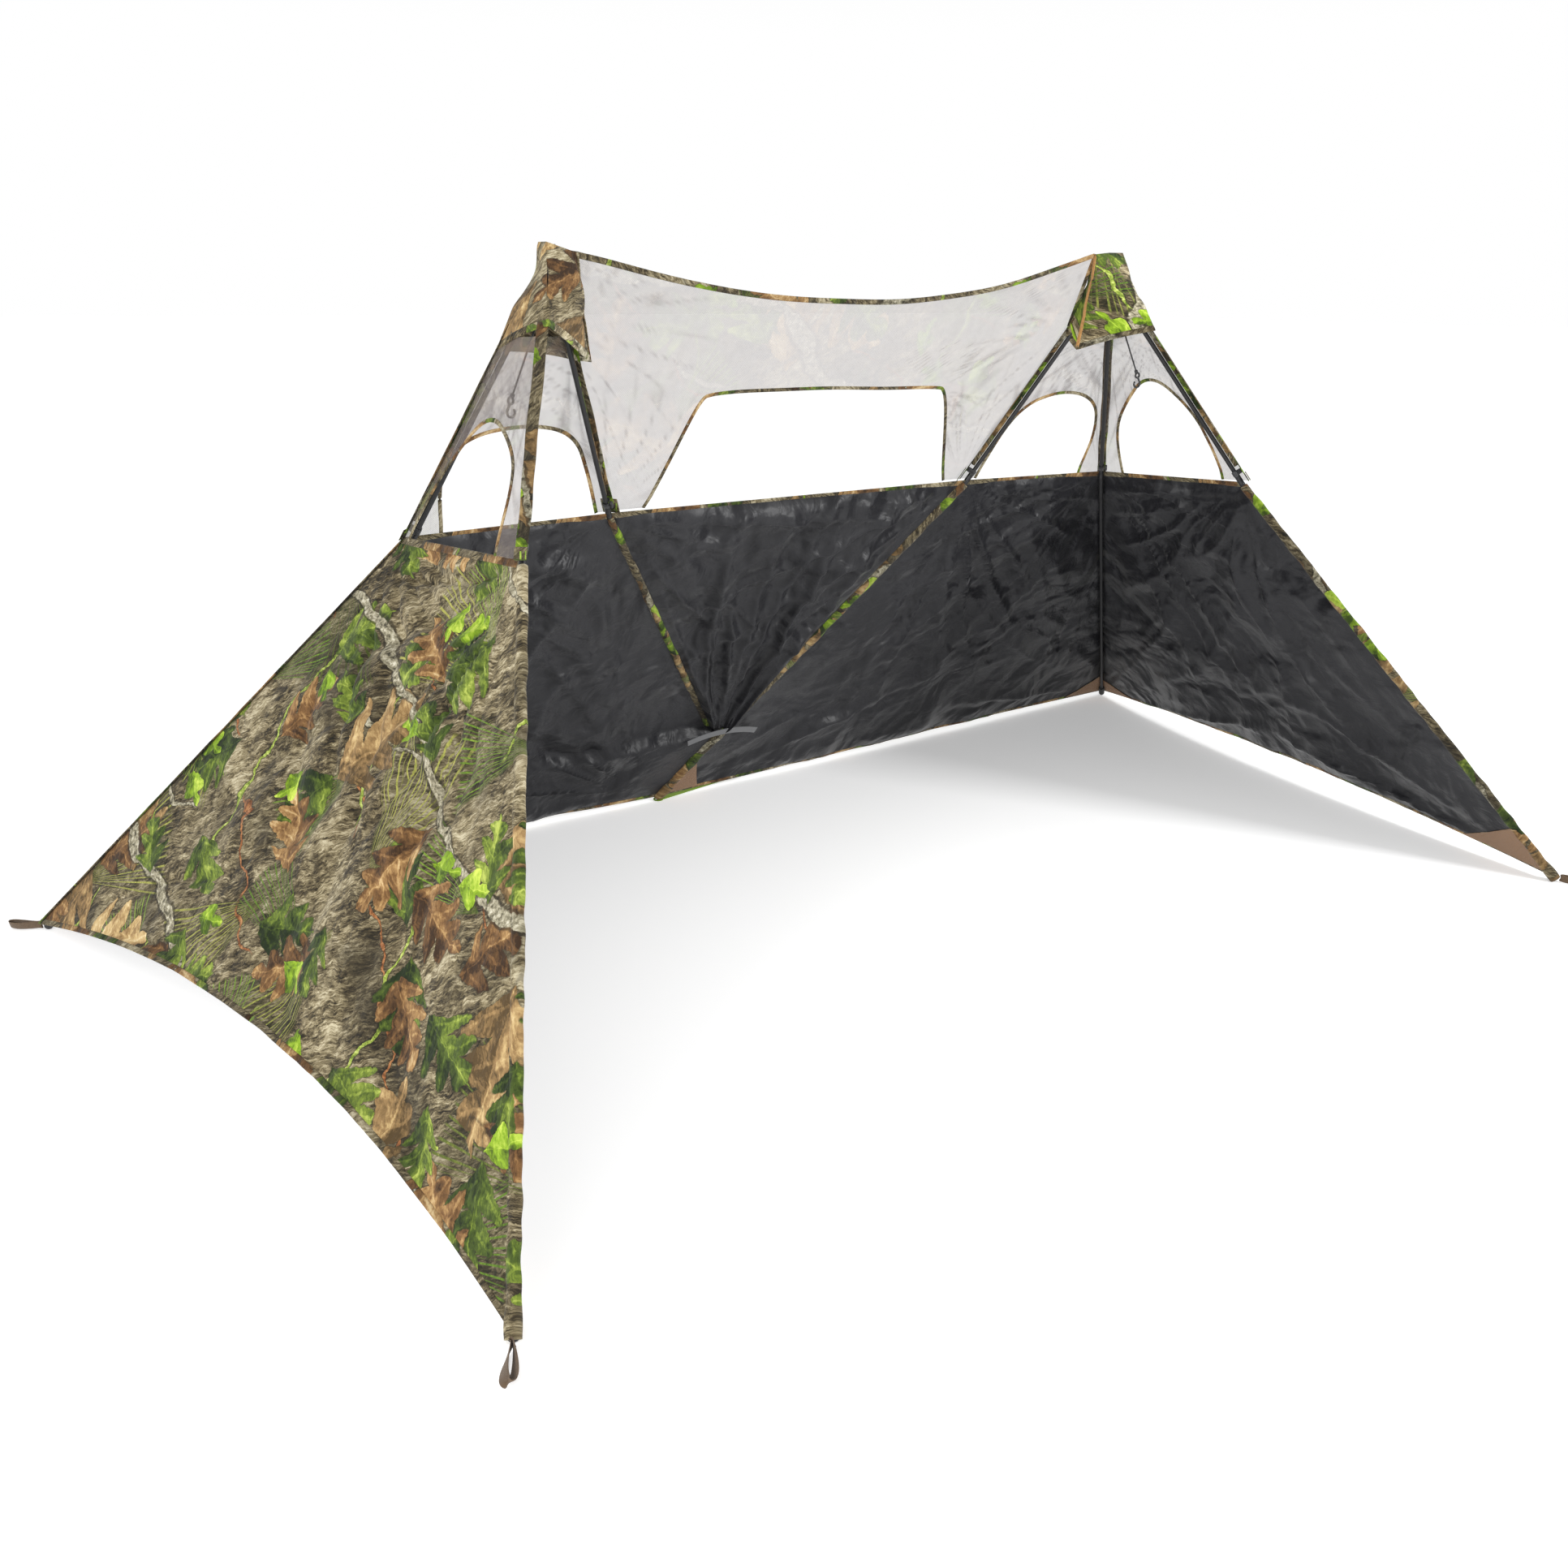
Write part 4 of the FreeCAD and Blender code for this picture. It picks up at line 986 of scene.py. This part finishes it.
def knee_fittings(leg):
    """The square patch that backs the knee, and the strap and clip that hold the cloth to the pole."""
    middle = leg.on_upper(UPPER_REACH - 0.012, SEAM_OFFSET + 0.004)
    wide = 0.040 if "centre" in leg.name else 0.024
    half = leg.upper * wide / 2
    patch = straight_tape(f"knee_patch_{leg.name}", middle - half, middle + half, leg.outward, wide, 0.0018,
                          0.0, PATCH_PRINT, 0.3)
    fixed(patch, leg.body)
    turn = np.linspace(0, 2 * math.pi, STRAP_POINTS + 1)[:-1]
    pin = np.cross(leg.upper, leg.outward)
    centre = leg.on_upper(UPPER_REACH - 0.034, 0.0)
    round_pole = np.stack([np.cos(turn), np.sin(turn)], -1)
    stretch = np.where(round_pole[:, :1] > 0, SEAM_OFFSET + 0.001, POLE_RADIUS + 0.0028)
    loop = (centre + leg.outward * round_pole[:, :1] * stretch
            + pin * round_pole[:, 1:] * (POLE_RADIUS + 0.0028))
    rings = []
    for inset, lift in ((0.0, -0.006), (0.0, 0.006), (0.0014, 0.006), (0.0014, -0.006)):
        rings.append(centre + (loop - centre) * (1 - inset / 0.012) + leg.upper * lift)
    rings = np.stack(rings, 1)
    sides = rings.shape[1]
    coords = np.stack([np.broadcast_to(turn[:, None] * 0.01, (STRAP_POINTS, sides)),
                       np.broadcast_to(np.array([0, 0.012, 0.012, 0.0]), (STRAP_POINTS, sides))], -1)
    faces = hoop_faces(STRAP_POINTS, sides)[:, [0, 3, 2, 1]]
    strap = make_mesh(f"knee_strap_{leg.name}", rings.reshape(-1, 3), faces, [BLACK_WEBBING],
                      coords.reshape(-1, 2))
    fixed(strap, leg.body)
    clip = rounded_block(f"knee_clip_{leg.name}", centre + pin * (POLE_RADIUS + 0.0075), leg.upper,
                         leg.outward, (0.018, 0.011, 0.007), MOULDED)
    fixed(clip, leg.body)


def rounded_block(name, centre, length_axis, wide_axis, size, material):
    """A small moulded part: a block with well rounded edges and a waist."""
    down = np.linspace(-1, 1, 13)[:, None]
    turn = np.linspace(0, 2 * math.pi, 20, endpoint=False)[None, :]
    end = np.sqrt(np.clip(1 - np.abs(down) ** 4, 0.02, 1)) * (1 - 0.18 * np.cos(down * math.pi * 0.5) ** 4)
    wide = squarish(np.cos(turn), 0.5) * end * size[1] / 2
    deep = squarish(np.sin(turn), 0.5) * end * size[2] / 2
    deep_axis = np.cross(length_axis, wide_axis)
    rings = (centre + length_axis * (down * size[0] / 2)[..., None] + wide_axis * wide[..., None]
             + deep_axis * deep[..., None])
    coords = np.stack([wide, down * size[0] / 2 + 0 * wide], -1)
    return tube_mesh(name, rings, coords, material)


# ---------------------------------------------------------------- peak caps
CAP_CLEARANCE = 0.025
# For each cap: its height over the hub, its ridge's reach and rise, and how far down the rear, front and
# centre legs its corners lie.
CAP_SHAPES = {"left": (0.100, 0.040, -0.018, 0.122, 0.074, 0.150),
              "right": (0.111, 0.066, -0.005, 0.122, 0.104, 0.105)}


def open_corner(side, front, ahead):
    """How far the corner of a cap's open front hangs from its centre leg."""
    if side == "left":
        return ahead * 0.030
    return front.out * 0.045 - UP * 0.035


def cap_corners(side, rear, front, centre):
    """The cap's top corners and hem corners, in pairs: rear, front, the open front's far end, centre."""
    ahead = unit(front.out + centre.out)
    inwards = np.array((1.0 if side == "left" else -1.0, 0.0, 0.0))
    height, reach, rise, rear_drop, front_drop, centre_drop = CAP_SHAPES[side]
    peak = rear.hub + UP * height
    ridge_end = peak + inwards * reach + UP * rise
    tops = [peak + rear.out * 0.020, peak + front.out * 0.022,
            ridge_end + ahead * 0.018, ridge_end - ahead * 0.009]
    hem = [rear.on_upper(rear_drop, CAP_CLEARANCE - 0.006),
           front.on_upper(front_drop, CAP_CLEARANCE) + ahead * 0.012,
           centre.on_upper(centre_drop + 0.01, CAP_CLEARANCE) + open_corner(side, front, ahead),
           centre.on_upper(centre_drop, CAP_CLEARANCE - 0.008)]
    return list(zip(tops, hem))


def peak_cap(side, rear, front, centre):
    """The cap over a hub: taut from its short ridge to a corner over each leg, drawn in at its sides and
    bellied over the hub at its front."""
    corners = cap_corners(side, rear, front, centre)
    ahead = unit(front.out + centre.out)
    spans = [(0, 1, 24, 0.006, -0.004), (1, 2, 28, 0.004, 0.0), (2, 3, 8, 0.0, 0.0),
             (3, 0, 28, 0.006, -0.004)]
    rim, hem, belly, pinched = [], [], [], []
    for first, second, count, arch, tuck in spans:
        share = np.linspace(0, 1, count, endpoint=False)[:, None]
        bow = 4 * share * (1 - share)
        rim.append(lerp(corners[first][0], corners[second][0], share))
        belly.append(bow * (0.024 if first == 1 else -0.002))
        pinched.append({0: 1 - share, 3: share}.get(first, 0 * share))
        edge = lerp(corners[first][1], corners[second][1], share)
        towards = rear.hub * (1, 1, 0) + edge * (0, 0, 1) - edge
        hem.append(edge + UP * arch * bow + unit(towards) * tuck * bow)
    rim, hem = np.vstack(rim), np.vstack(hem)
    rim = np.vstack([rim, rim[:1]])
    hem = np.vstack([hem, hem[:1]])
    belly = np.vstack(belly + [belly[0][:1]])
    pinched = np.vstack(pinched + [pinched[0][:1]])
    middle = np.broadcast_to((rim[:-1].mean(0) + UP * 0.002), rim.shape)
    fall = np.linspace(0, 1, 30)[:, None, None]
    points = lerp(rim, hem, fall)
    towards = unit((rear.hub - points) * (1, 1, 0) + 1e-9)
    swell = np.sin(np.pi * fall ** 0.8)
    waist = np.sin(np.pi * np.clip(fall / 0.62, 0, 1)) ** 1.5 * (0.017 if side == "left" else 0.006)
    points = points + towards * (waist * pinched) + ahead * (belly * swell)
    points = np.concatenate([lerp(middle, rim, 0.02)[None], lerp(middle, rim, 0.7)[None], points])
    normals = grid_normals(points)
    normals[:, 0] = normals[:, -1] = unit(normals[:, 0] + normals[:, -1])
    if (normals * (rear.hub - points)).sum() < 0:
        normals = -normals
    normals[:2] = -UP
    turn = travel(hem)[None, :]
    down = np.concatenate([[0, 0], fall[:, 0, 0]])[:, None]
    loose = np.sin(np.pi * np.clip(down, 0, 1)) * np.sin(np.pi * np.clip(turn / turn.max(), 0, 1)) ** 0.5
    pull = 0.0045 * waves(turn, down * 0.2, 0.16, 51) + 0.004 * creases(turn, down * 0.22, 0.12, 52)
    points = points + normals * (pull * loose)[..., None]
    coords = np.stack([turn * (0.4 + 0.6 * down), 0.25 - down * 0.2 + 0 * turn], -1)
    cloth = double_sheet(f"cap_{side}", points, normals, coords, LINING, CAP_PRINTS[side])
    edge = ribbon(f"cap_{side}_hem", hem, normals[-1], 0.015, PATCH_PRINT if side == "left" else BINDING,
                  0.0036, 0.9)
    starts = np.cumsum([0] + [span[2] for span in spans])[:4]
    rib = ribbon(f"cap_{side}_rib", points[2:, starts[2]], -normals[2:, starts[2]], 0.009,
                 BINDING if side == "left" else CAP_BINDING, 0.0032, 0.4)
    binding = joined(f"cap_{side}_bindings", [edge, rib])
    for piece in (cloth, binding):
        fixed(piece, side + "_hub")
    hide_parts("peak_cap_" + side)


# ---------------------------------------------------------------- webbing
def stake_loop(leg, twist):
    """The webbing loop beyond a corner's foot, with its ends sewn together at the boot."""
    node = "stake_loop_" + leg.name
    away = unit(leg.lower * (1, 1, 0))
    side = np.cross(UP, away)
    start = leg.foot * (1, 1, 0) + away * 0.016 + UP * 0.0105
    turn = np.linspace(0, 2 * math.pi, LOOP_POINTS + 1)[:-1]
    reach = LOOP_LENGTH / 2 * (1 - np.cos(turn))
    spread = 0.0075 * np.sin(turn) * (0.35 + 0.65 * reach / LOOP_LENGTH) * 1.3
    middle = start + away * reach[:, None] + side * spread[:, None]
    middle = middle + UP * (0.0015 * np.sin(2 * turn + 0.6))[:, None]
    lean = twist * reach / LOOP_LENGTH
    run = unit(np.roll(middle, -1, 0) - np.roll(middle, 1, 0))
    tall = unit(UP * np.cos(lean)[:, None] + side * np.sin(lean)[:, None])
    tall = unit(tall - run * np.sum(tall * run, 1, keepdims=True))
    thick = np.cross(run, tall)
    section = np.linspace(0, 2 * math.pi, 10, endpoint=False)
    height = squarish(np.cos(section), 0.5) * 0.0092
    depth = squarish(np.sin(section), 0.5) * 0.0009
    rings = middle[:, None] + tall[:, None] * height[None, :, None] + thick[:, None] * depth[None, :, None]
    travelled = np.cumsum(np.linalg.norm(np.diff(middle, axis=0, prepend=middle[-1:]), axis=1))
    coords = np.stack([travelled[:, None] + 0 * height, height[None, :] + 0 * travelled[:, None]], -1)
    loop = make_mesh("webbing_loop_" + leg.name, rings.reshape(-1, 3), hoop_faces(LOOP_POINTS, len(section)),
                     [BROWN_WEBBING], coords.reshape(-1, 2))
    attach(loop, leg.body)
    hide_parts(node)


# ---------------------------------------------------------------- window hooks
def hook_cord(side):
    """The shock cord from a hub down to its hook, pulled straight."""
    start, stop = pole_ends("hook_cord_" + side)
    curve = bpy.data.curves.new("shock_cord_" + side, "CURVE")
    curve.dimensions = "3D"
    curve.bevel_depth = CORD_DIAMETER / 2
    curve.bevel_resolution = 5
    curve.use_fill_caps = True
    spline = curve.splines.new("NURBS")
    spline.points.add(3)
    for point, share in zip(spline.points, (0, 0.3, 0.7, 1)):
        point.co = (*lerp(start, stop, share), 1)
    spline.order_u = 3
    spline.use_endpoint_u = True
    curve.materials.append(CORD)
    cord = added("shock_cord_" + side, curve)
    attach(cord, side + "_hook")
    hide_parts("hook_cord_" + side)


# ---------------------------------------------------------------- stage and camera
def camera():
    """A 31.7 mm lens at eye height, ahead of the left front foot and turned towards the middle."""
    data = bpy.data.cameras.new("camera")
    data.sensor_width = SENSOR_WIDTH
    data.lens = LENS
    made = added("camera", data)
    yaw, pitch, roll = CAMERA_YAW, CAMERA_PITCH, CAMERA_ROLL
    forward = Vector((math.sin(yaw) * math.cos(pitch), math.cos(yaw) * math.cos(pitch), math.sin(pitch)))
    level = Vector((math.cos(yaw), -math.sin(yaw), 0))
    upright = level.cross(forward)
    right = level * math.cos(roll) + upright * math.sin(roll)
    up = upright * math.cos(roll) - level * math.sin(roll)
    made.matrix_world = Matrix.Translation(CAMERA_PLACE) @ Matrix(
        (right, up, -forward)).transposed().to_4x4()
    bpy.context.scene.camera = made


def light(name, place, target, size, power):
    """A soft square lamp, aimed at the target."""
    data = bpy.data.lights.new(name, "AREA")
    data.size = size
    data.energy = power
    made = added(name, data)
    made.location = place
    made.rotation_euler = (Vector(target) - Vector(place)).to_track_quat("-Z", "Y").to_euler()


def stage():
    """A plain pale floor with a weak glow, which keeps it white, under a bright sky, with soft lamps."""
    mesh = bpy.data.meshes.new("floor")
    corners = [(x * FLOOR_REACH, y * FLOOR_REACH, FLOOR_LEVEL)
               for x, y in ((-1, -1), (1, -1), (1, 1), (-1, 1))]
    mesh.from_pydata(corners, [], [(0, 1, 2, 3)])
    graph = Graph("floor")
    mesh.materials.append(graph.finish(Base_Color=(0.9, 0.9, 0.9, 1), Roughness=0.9, Specular_IOR_Level=0.1,
                                      Emission_Color=(1, 1, 1, 1), Emission_Strength=FLOOR_GLOW))
    added("floor", mesh)
    world = bpy.data.worlds.new("studio")
    world.use_nodes = True
    nodes, links = world.node_tree.nodes, world.node_tree.links
    axes = nodes.new("ShaderNodeSeparateXYZ")
    fade = nodes.new("ShaderNodeMapRange")
    links.new(nodes.new("ShaderNodeTexCoord").outputs["Generated"], axes.inputs[0])
    links.new(axes.outputs[2], fade.inputs["Value"])
    for key, value in (("From Min", 0.15), ("From Max", 0.8), ("To Min", 1.0), ("To Max", 0.72)):
        fade.inputs[key].default_value = value
    links.new(fade.outputs[0], nodes["Background"].inputs["Strength"])
    nodes["Background"].inputs["Color"].default_value = (1, 1, 1, 1)
    bpy.context.scene.world = world
    light("key", (3.4, -5.2, 3.8), (0, 0.6, 0.5), 1.6, 300)
    light("fill", (-5.0, -1.6, 1.9), (-1.1, -0.2, 0.5), 2.0, 120)
    bpy.context.scene.view_settings.view_transform = "Standard"


# ---------------------------------------------------------------- the blind
camera()
stage()
for side in ("left", "right"):
    hook_cord(side)

LEFT_REAR, LEFT_FRONT, LEFT_CENTRE = (LEGS["left_" + place] for place in ("rear", "front", "centre"))
RIGHT_REAR, RIGHT_FRONT, RIGHT_CENTRE = (LEGS["right_" + place] for place in ("rear", "front", "centre"))


def crossing(leg):
    """Where a centre leg passes the other one, seen from the front."""
    spans = LEFT_CENTRE, RIGHT_CENTRE
    gap = spans[1].knee[0] - spans[0].knee[0]
    closing = gap - (spans[1].foot[0] - spans[0].foot[0])
    return lerp(leg.knee, leg.foot, gap / closing)


inner_corner = RIGHT_CENTRE.wall_line()[1]
left_cross, right_cross = crossing(LEFT_CENTRE), crossing(RIGHT_CENTRE)
back_edge = np.array([LEFT_CENTRE.knee, lerp(LEFT_CENTRE.knee, left_cross, 0.95), right_cross, inner_corner])
WALLS = {}
for name, left, right, left_edge, right_edge, rise, seed in (
        ("left_side", LEFT_REAR, LEFT_FRONT, LEFT_REAR.wall_line(), LEFT_FRONT.wall_line(), 0.12, 100),
        ("left_back", LEFT_REAR, LEFT_CENTRE, LEFT_REAR.wall_line(), back_edge, 0.012, 200),
        ("centre", LEFT_CENTRE, RIGHT_CENTRE, np.array([LEFT_CENTRE.knee, left_cross]),
         np.array([RIGHT_CENTRE.knee, right_cross]), 0.0, 300),
        ("right_back", RIGHT_CENTRE, RIGHT_REAR, RIGHT_CENTRE.wall_line(), RIGHT_REAR.wall_line(), 0.012,
         400),
        ("right_side", RIGHT_REAR, RIGHT_FRONT, RIGHT_REAR.wall_line(), RIGHT_FRONT.wall_line(), 0.055, 500)):
    WALLS[name] = Wall(name, left, right, left_edge, right_edge, rise, seed)
# The outline of each window on its bay's netting: up from the hem on the left, and down to it on the right.
WINDOWS = {
    "left_side": [(-0.232, 0), (-0.165, 0.169), (-0.036, 0.285), (0.111, 0.202), (0.152, 0.128), (0.163, 0)],
    "left_back": [(-0.169, 0), (-0.19, 0.14), (-0.135, 0.225), (0.015, 0.238), (0.13, 0.205), (0.18, 0.1),
                  (0.218, 0)],
    "centre": [(-0.452, 0), (-0.37, 0.265), (-0.33, 0.292), (0.33, 0.282), (0.378, 0.268), (0.477, 0)],
    "right_back": [(-0.206, 0), (-0.15, 0.205), (-0.011, 0.262), (0.125, 0.235), (0.175, 0.12), (0.166, 0)],
    "right_side": [(-0.178, 0), (-0.16, 0.125), (-0.11, 0.205), (0.021, 0.312), (0.14, 0.2), (0.172, 0.084),
                   (0.179, 0)],
}
RIDGE = [(-0.745, 0.603), (-0.48, 0.548), (-0.28, 0.517), (0.0, 0.500), (0.28, 0.515), (0.48, 0.552),
         (0.712, 0.628)]
for name, wall in WALLS.items():
    left, right = wall.legs
    wall.build((f"wall_{left.name}", f"wall_{right.name}"))
    centre_bay = name == "centre"
    net = Net(name, left, right, WINDOWS[name], 0.09 if centre_bay else 0.10, wall.seed + 50,
              RIDGE if centre_bay else None)
    net.build((f"mesh_{left.name}", f"mesh_{right.name}"), centre_bay)
for name, right_side, wide, tall in (("left_side", False, 0.08, 0.06), ("left_side", True, 0.10, 0.10),
                                     ("left_back", False, 0.07, 0.055), ("right_back", False, 0.065, 0.13),
                                     ("right_back", True, 0.11, 0.085), ("right_side", False, 0.10, 0.06),
                                     ("right_side", True, 0.14, 0.12)):
    WALLS[name].corner_patch(right_side, wide, tall)
SLEEVED = ((LEFT_FRONT, "left_side"), (LEFT_CENTRE, "centre"), (RIGHT_CENTRE, "right_back"),
           (RIGHT_FRONT, "right_side"))
for leg, bay in SLEEVED:
    sleeve(leg, WALLS[bay].facing, WALLS[bay] if leg is LEFT_FRONT else None)
for leg in LEGS.values():
    seams(leg)
    knee_fittings(leg)
peak_cap("left", LEFT_REAR, LEFT_FRONT, LEFT_CENTRE)
peak_cap("right", RIGHT_REAR, RIGHT_FRONT, RIGHT_CENTRE)
for leg, twist in ((LEFT_REAR, 0.3), (LEFT_FRONT, 1.1), (RIGHT_REAR, -0.3), (RIGHT_FRONT, -0.6)):
    stake_loop(leg, twist)

FINISHES = {"moulded_black": MOULDED, "pin_steel": STEEL, "pole_black": POLE, "ferrule_black": FERRULE,
            "boot_rubber": RUBBER, "grey_webbing": GREY_WEBBING, "black_webbing": BINDING,
            "hook_plastic": GLOSS, "blackout_cloth": BLACK, "netting": NETTING, "camouflage_cloth": PRINT,
            "brown_webbing": BROWN_WEBBING, "shock_cord": CORD}
for part in frame["record"]["subparts"]:
    node = frame["nodes"][part["node"]]
    node.data.materials.clear()
    node.data.materials.append(FINISHES[part["material_slot"]])
